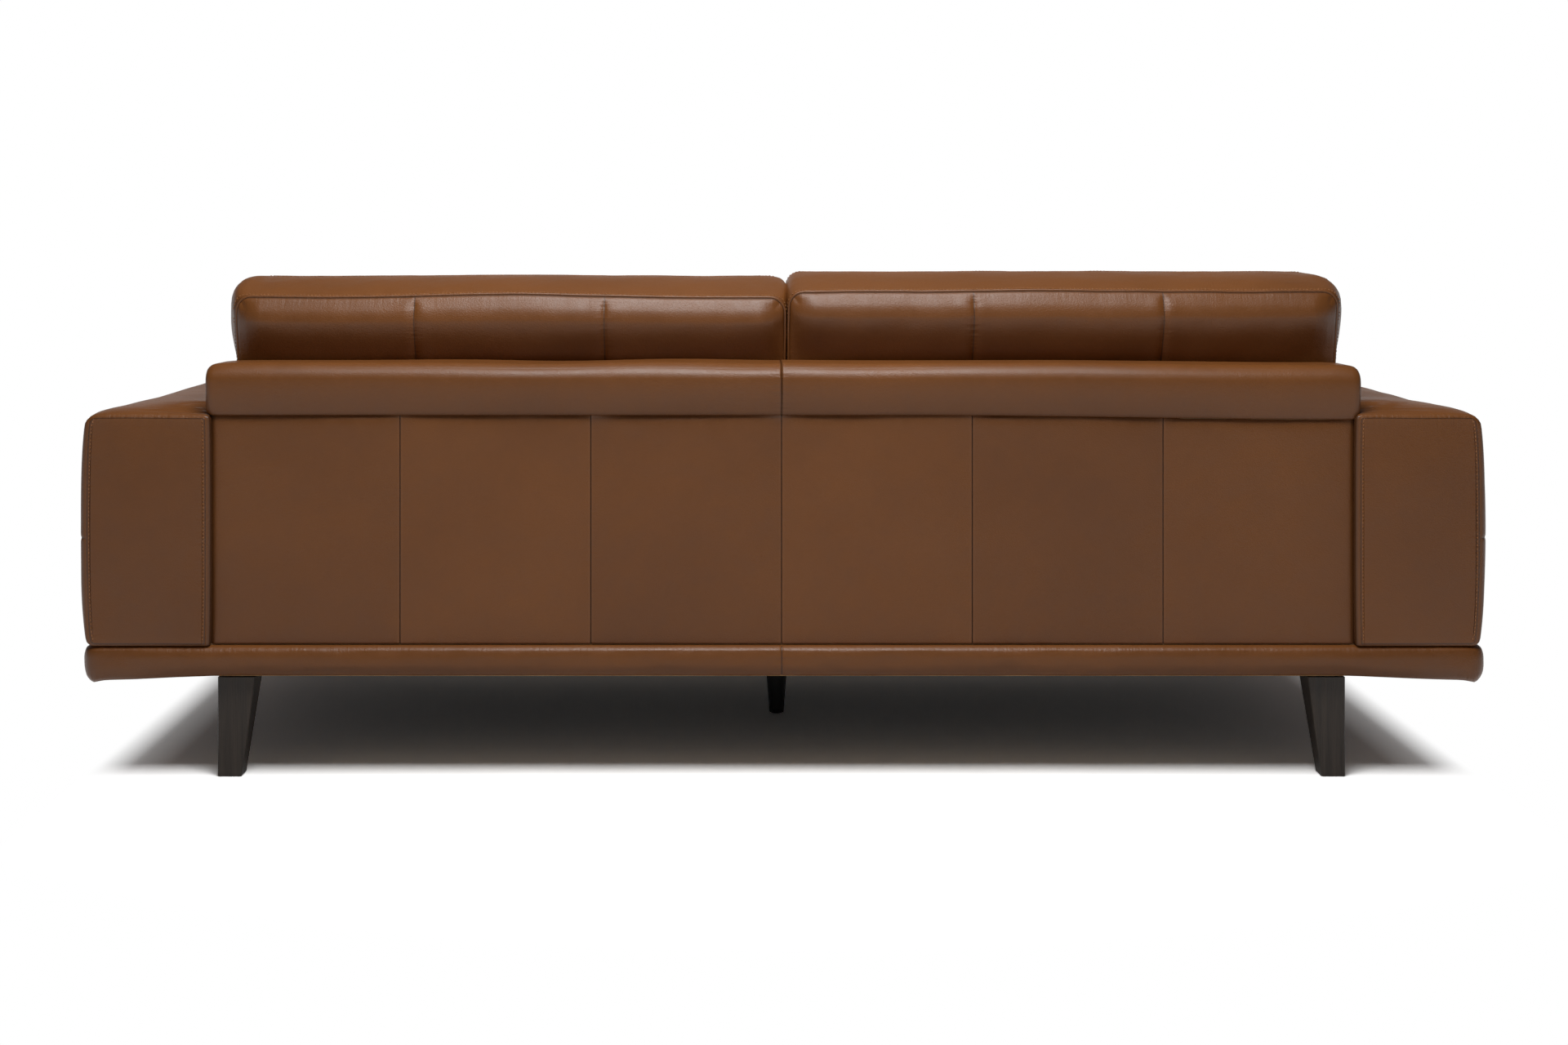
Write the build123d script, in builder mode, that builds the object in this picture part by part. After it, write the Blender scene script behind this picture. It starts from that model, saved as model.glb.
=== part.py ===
from build123d import *
import os
from math import cos, radians, sin, tan

os.makedirs("parts", exist_ok=True)

# Leather sofa on dark wooden legs, in millimetres: +X is the sitter's left, the back is at +Y,
# +Z is up, and the origin is on the floor under the middle of the plinth.

# Driving dimensions -----------------------------------------------------------------------

plinth_width = 2240       # over the rounded noses of the plinth
plinth_depth = 980
plinth_height = 53
plinth_corner = 34        # plan radius of the plinth's corners
plinth_rim = 22           # rounding of the nose, above and below
plinth_nose = 26          # padding in front of the base timbers
plinth_flap = 74          # how far the leather is folded in over the base timbers
plinth_top_pad = 5

leather = 2               # hide with its backing cloth
fit = 0.3                 # room round each loose or stuffed piece

leg_height = 160          # floor to the underside of the plinth
leg_top = 60              # square at the top
leg_foot = 38             # square at the floor
leg_ease = 1.5            # chamfer along the leg's edges
leg_end_inset = 214       # end of the plinth to the leg's outer face
leg_side_inset = 25       # front or rear of the plinth to the leg's outer face
centre_leg_top = 52       # round support leg under the middle
centre_leg_foot = 26
glide_diameter = 20
glide_thickness = 3
glide_proud = 1           # how far a glide stands out of its leg

leg_bolt_radius = 4
leg_bolt_in_leg = 42
leg_bolt_in_rail = 24
bolt_hole_room = 0.2
leg_plate = 54            # square steel plate let into the base rail over each leg
leg_plate_thickness = 2.5
plate_screw_spacing = 38
plate_screw_radius = 1.75
plate_screw_head = 3.6
plate_screw_length = 20

base_rail_width = 70
base_cross_rail_width = 46
base_cross_rail_inset = 4  # inner face of an arm to the near face of the cross rail under it
base_beam_width = 64
corner_block = 56
dust_cover = 2

arm_width = 199
arm_height = 362          # plinth to the arm's top seams
arm_end_setback = 3       # plinth nose to the arm's outer side at its foot
arm_face_setback = 4      # plinth nose to the arm's front and rear faces
arm_top_lean = 6          # how far the outer side leans in by the top seam
arm_crown = 8             # rise of the padded top
arm_bulge = 9             # swell of the padded outer side
arm_top_round = 14
arm_foot_round = 10
arm_rim = 8               # rounding towards the front and rear facings
arm_facing_seam = 3       # flat leather between that rounding and the facing
arm_pad_inner = 10
arm_pad_outer = 18
arm_pad_top = 30
arm_pad_end = 14
arm_board = 18
arm_bolt_radius = 4
arm_bolt_setback = 120    # arm face to its nearest frame bolt
bolt_head_radius = 9
bolt_head_height = 5

deck_height = 72          # plinth to the top of the seat deck
deck_cloth = 4
border_pad = 10
border_return = 60        # border leather folded back over the front of the deck
border_round = 9
seat_rail_width = 26
rear_seat_rail_width = 22
spring_count = 12
spring_bars = 20
spring_bar = 50           # over the turns, across the spring
spring_wire_radius = 1.9
spring_end_inset = 80     # arm to the middle of the outermost spring
clip_length = 14
clip_width = 12
clip_room = 0.1
clip_wall = 0.8           # steel over the wire

back_lean = 10            # degrees
band_rise = 87            # arm top to the top of the back's padded band
band_height = 85
band_overhang = 5         # how far the band laps over each arm
band_proud = 12           # how far the band stands out behind the back panels
band_depth = 122          # rear face of the band to its front face, at the top
band_rear_round = 26
band_front_round = 20
band_foot_round = 4
band_end_round = 14
band_pad = 18
panel_inset = 14          # rear face of the arms to the leather panels of the back
panel_count = 6
back_board = 4
back_pad = 15
back_post = 35
back_post_end = 30        # arm to the side of the outermost post
back_post_count = 5
back_top_rail = 30
back_bottom_rail = 40
webbing = 2
webbing_width = 60
webbing_count = 4

seat_cushion_height = 162
seat_cushion_front = 8    # arm face to the front of the seat cushions
seat_cushion_corner = 28
seat_cushion_rim = 14
cushion_gap = 4           # between the two seats, and beside each arm
back_cushion_thickness = 200
back_cushion_over = 102   # band top to the rear top seam of the back cushions
back_cushion_round = 18

# Levels and faces that follow from them ----------------------------------------------------

plinth_half = plinth_width / 2
plinth_side = plinth_depth / 2
plinth_foot = leg_height
plinth_top = leg_height + plinth_height
timber_foot = leg_height + leather
timber_top = plinth_top - leather - plinth_top_pad

arm_outer = plinth_half - arm_end_setback
arm_inner = arm_outer - arm_width
arm_face = plinth_side - arm_face_setback
arm_top = plinth_top + arm_height

deck_top = plinth_top + deck_height
seat_rail_top = deck_top - deck_cloth - 2 * spring_wire_radius - clip_room - clip_wall
border_face = arm_face - seat_cushion_front
border_rail_face = border_face - leather - border_pad

band_top = arm_top + band_rise
band_foot = band_top - band_height
back_cushion_top = band_top + back_cushion_over
panel_face = arm_face - panel_inset
band_face = panel_face + band_proud
band_top_front = band_face - band_depth
board_face = panel_face - leather
post_face = board_face - back_board
post_front = leather + back_pad + webbing
slope = tan(radians(back_lean))

base_end = plinth_half - plinth_nose
base_side = plinth_side - plinth_nose
base_bay_end = base_end - base_rail_width
base_bay_side = base_side - base_rail_width

leg_x = plinth_half - leg_end_inset
leg_y = plinth_side - leg_side_inset
leg_bolt_x = leg_x - leg_top / 2
leg_bolt_y = leg_y - leg_top / 2
leg_foot_level = glide_proud

SIDES = (("left", 1), ("right", -1))
LEG_ENDS = (("rear", 1), ("front", -1))


def back_front(z):
    """Y of the back's leaning front face at height z."""
    return band_top_front - (band_top - z) * slope


def span(side, near, far):
    """X limits of a piece between near and far from the middle, on one side."""
    return tuple(sorted((side * near, side * far)))


def middle(limits):
    return (limits[0] + limits[1]) / 2


def block(x, y, z, mode=Mode.ADD):
    """A plain block between two limits along each axis."""
    with Locations((middle(x), middle(y), middle(z))):
        Box(x[1] - x[0], y[1] - y[0], z[1] - z[0], mode=mode)


def side_prism(points, x, mode=Mode.ADD):
    """A prism along X with the given outline in the YZ plane."""
    with BuildSketch(Plane.YZ.offset(x[0])) as outline:
        Polygon(*points, align=None)
    extrude(outline.sketch, amount=x[1] - x[0], mode=mode)


def leaning_layer(near, far, z, x, mode=Mode.ADD):
    """A sheet parallel to the back's leaning front, from near to far behind that front."""
    low, high = z
    side_prism(
        [
            (back_front(low) + near, low),
            (back_front(high) + near, high),
            (back_front(high) + far, high),
            (back_front(low) + far, low),
        ],
        x,
        mode,
    )


def back_slab(near, rear, z, x, mode=Mode.ADD):
    """A slab between the leaning front, set in by near, and an upright rear face."""
    low, high = z
    side_prism(
        [
            (back_front(low) + near, low),
            (back_front(high) + near, high),
            (rear, high),
            (rear, low),
        ],
        x,
        mode,
    )


def padded_slab(x, y, z, corner, rim):
    """A slab with its upright corners and both rims rounded."""
    with BuildPart() as slab:
        with BuildSketch(Plane.XY.offset(z[0])):
            with Locations((middle(x), middle(y))):
                RectangleRounded(x[1] - x[0], y[1] - y[0], corner)
        extrude(amount=z[1] - z[0])
        fillet(slab.faces().filter_by(Axis.Z).edges(), rim)
    return slab.part


def upright_pin(spots, radius, z, mode=Mode.ADD):
    """Upright cylinders of one radius between two levels, one at each spot."""
    with Locations(*[(x, y, middle(z)) for x, y in spots]):
        Cylinder(radius, z[1] - z[0], mode=mode)


leg_bolt_spots = [
    (side * leg_bolt_x, end * leg_bolt_y) for _, side in SIDES for _, end in LEG_ENDS
]
plate_screw_spots = [
    (x + dx * plate_screw_spacing / 2, y + dy * plate_screw_spacing / 2)
    for x, y in leg_bolt_spots
    for dx in (1, -1)
    for dy in (1, -1)
]
centre_leg_spot = [(0, 0)]

# Legs -------------------------------------------------------------------------------------

for end_name, end in LEG_ENDS:
    for side_name, side in SIDES:
        with BuildPart() as leg:
            for level, size in ((leg_foot_level, leg_foot), (leg_height, leg_top)):
                with BuildSketch(Plane.XY.offset(level)):
                    with Locations((side * (leg_x - size / 2), end * (leg_y - size / 2))):
                        Rectangle(size, size)
            loft()
            rims = leg.faces().filter_by(Axis.Z).edges()
            chamfer([edge for edge in leg.edges() if edge not in rims], leg_ease)
            upright_pin(
                [(side * leg_bolt_x, end * leg_bolt_y)],
                leg_bolt_radius + bolt_hole_room,
                (leg_height - leg_bolt_in_leg, leg_height),
                Mode.SUBTRACT,
            )
            upright_pin(
                [(side * (leg_x - leg_foot / 2), end * (leg_y - leg_foot / 2))],
                glide_diameter / 2,
                (leg_foot_level, glide_thickness),
                Mode.SUBTRACT,
            )
        leg.part.label = f"{end_name}_{side_name}_leg"
        export_step(leg.part, f"parts/{end_name}_{side_name}_leg.step")

with BuildPart() as centre_leg:
    with BuildSketch(Plane.XY.offset(leg_foot_level)):
        Circle(centre_leg_foot / 2)
    with BuildSketch(Plane.XY.offset(leg_height)):
        Circle(centre_leg_top / 2)
    loft()
    fillet(centre_leg.edges().sort_by(Axis.Z)[0], leg_ease)
    upright_pin(
        centre_leg_spot,
        leg_bolt_radius + bolt_hole_room,
        (leg_height - leg_bolt_in_leg, leg_height),
        Mode.SUBTRACT,
    )
    upright_pin(
        centre_leg_spot, glide_diameter / 2, (leg_foot_level, glide_thickness), Mode.SUBTRACT
    )
centre_leg.part.label = "centre_support_leg"
export_step(centre_leg.part, "parts/centre_support_leg.step")

glide_spots = centre_leg_spot + [
    (side * (leg_x - leg_foot / 2), end * (leg_y - leg_foot / 2))
    for _, side in SIDES
    for _, end in LEG_ENDS
]
with BuildPart() as leg_glides:
    upright_pin(glide_spots, glide_diameter / 2, (0, glide_thickness))
leg_glides.part.label = "leg_glides"
export_step(leg_glides.part, "parts/leg_glides.step")

with BuildPart() as leg_bolts:
    upright_pin(
        leg_bolt_spots + centre_leg_spot,
        leg_bolt_radius,
        (leg_height - leg_bolt_in_leg, timber_foot + leg_bolt_in_rail),
    )
leg_bolts.part.label = "leg_bolts"
export_step(leg_bolts.part, "parts/leg_bolts.step")

plate_level = (timber_foot, timber_foot + leg_plate_thickness)


def plate_screws(mode=Mode.ADD):
    """Countersunk wood screws, flush with the underside of the leg plates."""
    with Locations(*[(x, y, middle(plate_level)) for x, y in plate_screw_spots]):
        Cone(plate_screw_head, plate_screw_radius, leg_plate_thickness, mode=mode)
    upright_pin(
        plate_screw_spots,
        plate_screw_radius,
        (plate_level[1], timber_foot + plate_screw_length),
        mode,
    )


with BuildPart() as leg_plates:
    with Locations(*[(x, y, middle(plate_level)) for x, y in leg_bolt_spots]):
        Box(leg_plate, leg_plate, leg_plate_thickness)
    plate_screws(Mode.SUBTRACT)
    upright_pin(leg_bolt_spots, leg_bolt_radius, plate_level, Mode.SUBTRACT)
leg_plates.part.label = "leg_plates"
export_step(leg_plates.part, "parts/leg_plates.step")

with BuildPart() as screws:
    plate_screws()
screws.part.label = "plate_screws"
export_step(screws.part, "parts/plate_screws.step")

# Base frame -------------------------------------------------------------------------------

arm_box_inner = arm_inner + leather + arm_pad_inner
arm_box_outer = arm_outer - arm_top_lean - leather - arm_pad_outer
arm_box_face = arm_face - leather - arm_pad_end
arm_box_top = arm_top - leather - arm_pad_top
arm_box_foot = plinth_top + leather

cross_rail_inner = arm_inner + base_cross_rail_inset
cross_rail_x = cross_rail_inner + base_cross_rail_width / 2
arm_bolt_spots = [
    (side * cross_rail_x, end * (arm_face - arm_bolt_setback))
    for _, side in SIDES
    for _, end in LEG_ENDS
]
arm_bolt_top = arm_box_foot + arm_board

for name, end in LEG_ENDS:
    with BuildPart() as base_rail:
        block(
            (-base_end, base_end),
            span(end, base_bay_side, base_side),
            (timber_foot, timber_top),
        )
        with Locations(
            *[(x, y, middle(plate_level)) for x, y in leg_bolt_spots if y * end > 0]
        ):
            Box(leg_plate, leg_plate, leg_plate_thickness, mode=Mode.SUBTRACT)
        upright_pin(
            leg_bolt_spots,
            leg_bolt_radius + bolt_hole_room,
            (timber_foot, timber_foot + leg_bolt_in_rail),
            Mode.SUBTRACT,
        )
        plate_screws(Mode.SUBTRACT)
    base_rail.part.label = f"base_{name}_rail"
    export_step(base_rail.part, f"parts/base_{name}_rail.step")

with BuildPart() as base_side_rails:
    for _, side in SIDES:
        block(
            span(side, base_bay_end, base_end),
            (-base_bay_side, base_bay_side),
            (timber_foot, timber_top),
        )
base_side_rails.part.label = "base_side_rails"
export_step(base_side_rails.part, "parts/base_side_rails.step")

with BuildPart() as base_cross_rails:
    for _, side in SIDES:
        block(
            span(side, cross_rail_inner, cross_rail_inner + base_cross_rail_width),
            (-base_bay_side, base_bay_side),
            (timber_foot, plinth_top),
        )
    block(
        (-base_beam_width / 2, base_beam_width / 2),
        (-base_bay_side, base_bay_side),
        (timber_foot, plinth_top),
    )
    upright_pin(
        centre_leg_spot,
        leg_bolt_radius + bolt_hole_room,
        (timber_foot, timber_foot + leg_bolt_in_rail),
        Mode.SUBTRACT,
    )
    upright_pin(
        arm_bolt_spots,
        arm_bolt_radius + bolt_hole_room,
        (timber_foot, plinth_top),
        Mode.SUBTRACT,
    )
    upright_pin(
        arm_bolt_spots, bolt_head_radius, (timber_foot, timber_foot + bolt_head_height), Mode.SUBTRACT
    )
base_cross_rails.part.label = "base_cross_rails"
export_step(base_cross_rails.part, "parts/base_cross_rails.step")

with BuildPart() as corner_blocks:
    for _, side in SIDES:
        for _, end in LEG_ENDS:
            with BuildSketch(Plane.XY.offset(timber_foot)) as gusset:
                Polygon(
                    (side * base_bay_end, end * base_bay_side),
                    (side * (base_bay_end - corner_block), end * base_bay_side),
                    (side * base_bay_end, end * (base_bay_side - corner_block)),
                    align=None,
                )
            extrude(gusset.sketch, amount=timber_top - timber_foot)
corner_blocks.part.label = "corner_blocks"
export_step(corner_blocks.part, "parts/corner_blocks.step")

with BuildPart() as frame_bolts:
    upright_pin(arm_bolt_spots, bolt_head_radius, (timber_foot, timber_foot + bolt_head_height))
    upright_pin(arm_bolt_spots, arm_bolt_radius, (timber_foot + bolt_head_height, arm_bolt_top))
frame_bolts.part.label = "frame_bolts"
export_step(frame_bolts.part, "parts/frame_bolts.step")

# Plinth upholstery ------------------------------------------------------------------------

plinth_outer_form = padded_slab(
    (-plinth_half, plinth_half),
    (-plinth_side, plinth_side),
    (plinth_foot, plinth_top),
    plinth_corner,
    plinth_rim,
)
plinth_inner_form = padded_slab(
    (leather - plinth_half, plinth_half - leather),
    (leather - plinth_side, plinth_side - leather),
    (plinth_foot + leather, plinth_top - leather),
    plinth_corner - leather,
    plinth_rim - leather,
)
flap_end = plinth_half - plinth_flap
flap_side = plinth_side - plinth_flap
bolt_hole = leg_bolt_radius + bolt_hole_room

with BuildPart() as plinth_foam:
    add(plinth_inner_form)
    block(
        (-base_end, base_end), (-base_side, base_side), (plinth_foot, timber_top), Mode.SUBTRACT
    )
    block(
        (-flap_end, flap_end), (-flap_side, flap_side), (plinth_foot, plinth_top), Mode.SUBTRACT
    )
plinth_foam.part.label = "plinth_foam"
export_step(plinth_foam.part, "parts/plinth_foam.step")

# The four lengths of plinth leather meet at mitres that run in from the corners.
mitre = plinth_half - plinth_side
plinth_lengths = {
    "rear": ((-plinth_half, plinth_side), (plinth_half, plinth_side), (mitre, 0), (-mitre, 0)),
    "front": ((plinth_half, -plinth_side), (-plinth_half, -plinth_side), (-mitre, 0), (mitre, 0)),
    "left": ((plinth_half, plinth_side), (plinth_half, -plinth_side), (mitre, 0)),
    "right": ((-plinth_half, -plinth_side), (-plinth_half, plinth_side), (-mitre, 0)),
}
for name, outline in plinth_lengths.items():
    with BuildPart() as plinth_cover:
        add(plinth_outer_form)
        add(plinth_inner_form, mode=Mode.SUBTRACT)
        block(
            (-flap_end, flap_end), (-flap_side, flap_side), (plinth_foot, plinth_top), Mode.SUBTRACT
        )
        upright_pin(leg_bolt_spots, bolt_hole, (plinth_foot, timber_foot), Mode.SUBTRACT)
        with BuildSketch(Plane.XY.offset(plinth_foot)) as length:
            Polygon(*outline, align=None)
        extrude(length.sketch, amount=plinth_height, mode=Mode.INTERSECT)
    plinth_cover.part.label = f"plinth_cover_{name}"
    export_step(plinth_cover.part, f"parts/plinth_cover_{name}.step")

with BuildPart() as dust_sheet:
    block((-flap_end, flap_end), (-flap_side, flap_side), (plinth_foot, plinth_foot + dust_cover))
    upright_pin(
        leg_bolt_spots + centre_leg_spot, bolt_hole, (plinth_foot, timber_foot), Mode.SUBTRACT
    )
dust_sheet.part.label = "dust_cover"
export_step(dust_sheet.part, "parts/dust_cover.step")

# Seat deck --------------------------------------------------------------------------------

rear_rail_face = back_front(plinth_top) + post_front
front_rail = (-border_rail_face, seat_rail_width - border_rail_face)
rear_rail = (rear_rail_face - rear_seat_rail_width, rear_rail_face)

with BuildPart() as seat_rails:
    for rail in (front_rail, rear_rail):
        block((-arm_inner, arm_inner), rail, (plinth_top, seat_rail_top))
seat_rails.part.label = "seat_rails"
export_step(seat_rails.part, "parts/seat_rails.step")

spring_level = seat_rail_top + spring_wire_radius
spring_first = middle(front_rail)
spring_pitch = (middle(rear_rail) - spring_first) / (spring_bars - 1)
spring_run = 2 * (arm_inner - spring_end_inset)
spring_spots = [
    -spring_run / 2 + spring_run * index / (spring_count - 1) for index in range(spring_count)
]

# One sinuous spring: cross bars joined by half turns, from the front rail to the rear rail.
bar_spots = [spring_first + bar * spring_pitch for bar in range(spring_bars)]
bar_half = (spring_bar - spring_pitch) / 2

with BuildPart() as one_spring:
    with Locations(*[(0, y, spring_level) for y in bar_spots]):
        Cylinder(spring_wire_radius, 2 * bar_half, rotation=(0, 90, 0))
    for index, y in enumerate(bar_spots[:-1]):
        hand = 1 if index % 2 == 0 else -1
        turn_start = Plane(origin=(hand * bar_half, y, spring_level), z_dir=(1, 0, 0))
        turn_axis = Axis((hand * bar_half, y + spring_pitch / 2, spring_level), (0, 0, hand))
        with BuildSketch(turn_start) as wire:
            Circle(spring_wire_radius)
        revolve(wire.sketch, axis=turn_axis, revolution_arc=180)

with BuildPart() as seat_springs:
    with Locations(*[(x, 0, 0) for x in spring_spots]):
        add(one_spring.part)
seat_springs.part.label = "seat_springs"
export_step(seat_springs.part, "parts/seat_springs.step")

# Each end bar is held down by a small saddle clip on its rail.
clip_level = (seat_rail_top, deck_top - deck_cloth)
with BuildPart() as spring_clips:
    for rail in (front_rail, rear_rail):
        for x in spring_spots:
            clip_x = (x - clip_length / 2, x + clip_length / 2)
            clip_y = (middle(rail) - clip_width / 2, middle(rail) + clip_width / 2)
            channel = spring_wire_radius + clip_room
            block(clip_x, clip_y, clip_level)
            block(
                clip_x,
                (middle(rail) - channel, middle(rail) + channel),
                (seat_rail_top, spring_level + channel),
                Mode.SUBTRACT,
            )
spring_clips.part.label = "spring_clips"
export_step(spring_clips.part, "parts/spring_clips.step")

deck_front = border_return - border_face
deck_rear = back_front(deck_top - deck_cloth)
with BuildPart() as deck_sheet:
    block((-arm_inner, arm_inner), (deck_front, deck_rear), (deck_top - deck_cloth, deck_top))
deck_sheet.part.label = "deck_cloth"
export_step(deck_sheet.part, "parts/deck_cloth.step")


def border_form(inset):
    """The padded front border and its fold over the deck, shrunk by inset."""
    with BuildPart() as form:
        block(
            (-arm_inner, arm_inner),
            (inset - border_face, deck_front),
            (plinth_top, deck_top - inset),
        )
        front_edges = form.edges().filter_by(Axis.X).sort_by(Axis.Z)[-2:]
        fillet(front_edges.sort_by(Axis.Y)[0], border_round - inset)
    return form.part


border_outer_form = border_form(0)
border_inner_form = border_form(leather)

with BuildPart() as border_cover:
    add(border_outer_form)
    add(border_inner_form, mode=Mode.SUBTRACT)
border_cover.part.label = "front_border_cover"
export_step(border_cover.part, "parts/front_border_cover.step")

with BuildPart() as border_foam:
    add(border_inner_form)
    block(
        (-arm_inner, arm_inner),
        (-border_rail_face, deck_front),
        (plinth_top, deck_top - deck_cloth),
        Mode.SUBTRACT,
    )
border_foam.part.label = "front_border_foam"
export_step(border_foam.part, "parts/front_border_foam.step")

# Arms -------------------------------------------------------------------------------------


def arm_outline(side, inset):
    """Section of an arm across X and Z: flat inside, swollen outside, crowned on top."""
    inner = side * (arm_inner + inset)
    top_outer = side * (arm_outer - arm_top_lean - inset)
    foot_outer = side * (arm_outer - inset)
    foot = plinth_top + inset
    top = arm_top - inset
    with BuildSketch(Plane.XZ) as outline:
        with BuildLine():
            Line((inner, foot), (inner, top))
            ThreePointArc(
                (inner, top),
                ((inner + top_outer) / 2, top + arm_crown),
                (top_outer, top),
            )
            ThreePointArc(
                (top_outer, top),
                (side * (arm_outer - arm_top_lean / 2 - inset + arm_bulge), (top + foot) / 2),
                (foot_outer, foot),
            )
            Line((foot_outer, foot), (inner, foot))
        make_face()
        fillet(outline.vertices().group_by(Axis.Y)[-1], arm_top_round - min(inset, arm_rim))
        fillet(outline.vertices().group_by(Axis.Y)[0], arm_foot_round - min(inset, arm_rim))
    return outline.sketch


def arm_form(side, inset):
    """The whole padded arm, shrunk by inset, with its front and rear rims rounded."""
    with BuildPart() as form:
        extrude(arm_outline(side, inset), amount=arm_face - inset, both=True)
        fillet(form.faces().filter_by(Axis.Y).edges(), arm_rim - inset)
    return form.part


for side_name, side in SIDES:
    arm_skin = arm_form(side, 0)
    arm_lining = arm_form(side, leather)
    arm_stuffing = arm_form(side, leather + fit)
    arm_bolt_pair = [spot for spot in arm_bolt_spots if spot[0] * side > 0]
    arm_bolt_hole = arm_bolt_radius + bolt_hole_room
    frame_x = span(side, arm_box_inner, arm_box_outer)
    frame_y = (-arm_box_face, arm_box_face)
    frame_z = (arm_box_foot, arm_box_top)

    with BuildPart() as arm_cover:
        add(arm_skin)
        add(arm_lining, mode=Mode.SUBTRACT)
        for _, end in LEG_ENDS:
            extrude(
                Pos(0, end * arm_face, 0) * arm_outline(side, arm_rim + arm_facing_seam),
                amount=end * leather,
                mode=Mode.SUBTRACT,
            )
        upright_pin(arm_bolt_pair, arm_bolt_hole, (plinth_top, arm_box_foot), Mode.SUBTRACT)
    arm_cover.part.label = f"{side_name}_arm_cover"
    export_step(arm_cover.part, f"parts/{side_name}_arm_cover.step")

    for end_name, end in LEG_ENDS:
        with BuildPart() as arm_facing:
            extrude(
                Pos(0, end * arm_face, 0) * arm_outline(side, arm_rim + arm_facing_seam),
                amount=end * leather,
            )
        arm_facing.part.label = f"{side_name}_arm_{end_name}_facing"
        export_step(arm_facing.part, f"parts/{side_name}_arm_{end_name}_facing.step")

    with BuildPart() as arm_padding:
        add(arm_stuffing)
        block(frame_x, frame_y, (plinth_top, arm_box_top), Mode.SUBTRACT)
    arm_padding.part.label = f"{side_name}_arm_padding"
    export_step(arm_padding.part, f"parts/{side_name}_arm_padding.step")

    with BuildPart() as arm_frame:
        inside_x = (frame_x[0] + arm_board, frame_x[1] - arm_board)
        inside_z = (frame_z[0] + arm_board, frame_z[1] - arm_board)
        block((frame_x[0], inside_x[0]), frame_y, (inside_z[0], inside_z[1]))
        block((inside_x[1], frame_x[1]), frame_y, (inside_z[0], inside_z[1]))
        block(frame_x, frame_y, (inside_z[1], frame_z[1]))
        block(frame_x, frame_y, (frame_z[0], inside_z[0]))
        block(inside_x, (frame_y[0], frame_y[0] + arm_board), inside_z)
        block(inside_x, (frame_y[1] - arm_board, frame_y[1]), inside_z)
        upright_pin(arm_bolt_pair, arm_bolt_hole, (frame_z[0], arm_bolt_top), Mode.SUBTRACT)
    arm_frame.part.label = f"{side_name}_arm_frame"
    export_step(arm_frame.part, f"parts/{side_name}_arm_frame.step")

# Back frame -------------------------------------------------------------------------------

top_rail_foot = band_top - leather - band_pad - back_top_rail
top_rail_level = (top_rail_foot, top_rail_foot + back_top_rail)
bottom_rail_level = (plinth_top, plinth_top + back_bottom_rail)
rail_x = (-arm_inner, arm_inner)

with BuildPart() as back_rails:
    back_slab(post_front, post_face, top_rail_level, rail_x)
    back_slab(post_front, post_face, bottom_rail_level, rail_x)
back_rails.part.label = "back_rails"
export_step(back_rails.part, "parts/back_rails.step")

post_run = arm_inner - back_post_end - back_post / 2
with BuildPart() as back_posts:
    for index in range(back_post_count):
        post_x = -post_run + 2 * post_run * index / (back_post_count - 1)
        back_slab(
            post_front,
            post_face,
            (bottom_rail_level[1], top_rail_level[0]),
            (post_x - back_post / 2, post_x + back_post / 2),
        )
back_posts.part.label = "back_posts"
export_step(back_posts.part, "parts/back_posts.step")

webbing_room = (band_foot - deck_top - webbing_count * webbing_width) / (webbing_count + 1)
with BuildPart() as back_webbing:
    for index in range(webbing_count):
        strap_foot = deck_top + webbing_room + index * (webbing_width + webbing_room)
        leaning_layer(
            leather + back_pad,
            post_front,
            (strap_foot, strap_foot + webbing_width),
            (-post_run - back_post / 2, post_run + back_post / 2),
        )
back_webbing.part.label = "back_webbing"
export_step(back_webbing.part, "parts/back_webbing.step")

inner_level = (deck_top, band_foot)
with BuildPart() as back_inner_foam:
    leaning_layer(leather, leather + back_pad, inner_level, rail_x)
back_inner_foam.part.label = "back_inner_foam"
export_step(back_inner_foam.part, "parts/back_inner_foam.step")

with BuildPart() as back_inner_cover:
    leaning_layer(0, leather, inner_level, rail_x)
back_inner_cover.part.label = "back_inner_cover"
export_step(back_inner_cover.part, "parts/back_inner_cover.step")

outer_level = (plinth_top, band_foot)
with BuildPart() as outer_board:
    block(rail_x, (post_face, board_face), outer_level)
outer_board.part.label = "back_outer_board"
export_step(outer_board.part, "parts/back_outer_board.step")

panel_pitch = 2 * arm_inner / panel_count
for index in range(panel_count):
    seam = arm_inner - index * panel_pitch
    with BuildPart() as back_panel:
        block((seam - panel_pitch, seam), (board_face, panel_face), outer_level)
    back_panel.part.label = f"back_panel_{index + 1}"
    export_step(back_panel.part, f"parts/back_panel_{index + 1}.step")

band_end = arm_inner + band_overhang


def band_form(x, inset):
    """The padded band along the top of the back between two ends, shrunk by inset."""
    with BuildPart() as form:
        with BuildSketch(Plane.YZ.offset(x[0])) as outline:
            Polygon(
                (back_front(band_foot) + inset, band_foot + inset),
                (back_front(band_top) + inset, band_top - inset),
                (band_face - inset, band_top - inset),
                (band_face - inset, band_foot + inset),
                align=None,
            )
            top_corners = outline.vertices().group_by(Axis.Y)[-1].sort_by(Axis.X)
            fillet(top_corners[0], band_front_round - inset)
            fillet(top_corners[1], band_rear_round - inset)
            fillet(outline.vertices().group_by(Axis.Y)[0].sort_by(Axis.X)[-1], band_foot_round - inset)
        extrude(amount=x[1] - x[0])
        end_faces = form.faces().filter_by(Axis.X).sort_by(Axis.X)
        end_edges = end_faces[0].edges() + end_faces[-1].edges()
        high_edges = [edge for edge in end_edges if edge.center().Z > band_foot + band_height / 2]
        fillet(high_edges, band_end_round - inset)
    return form.part


band_outer_form = band_form((-band_end, band_end), 0)
band_inner_form = band_form((leather - band_end, band_end - leather), leather)

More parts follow.
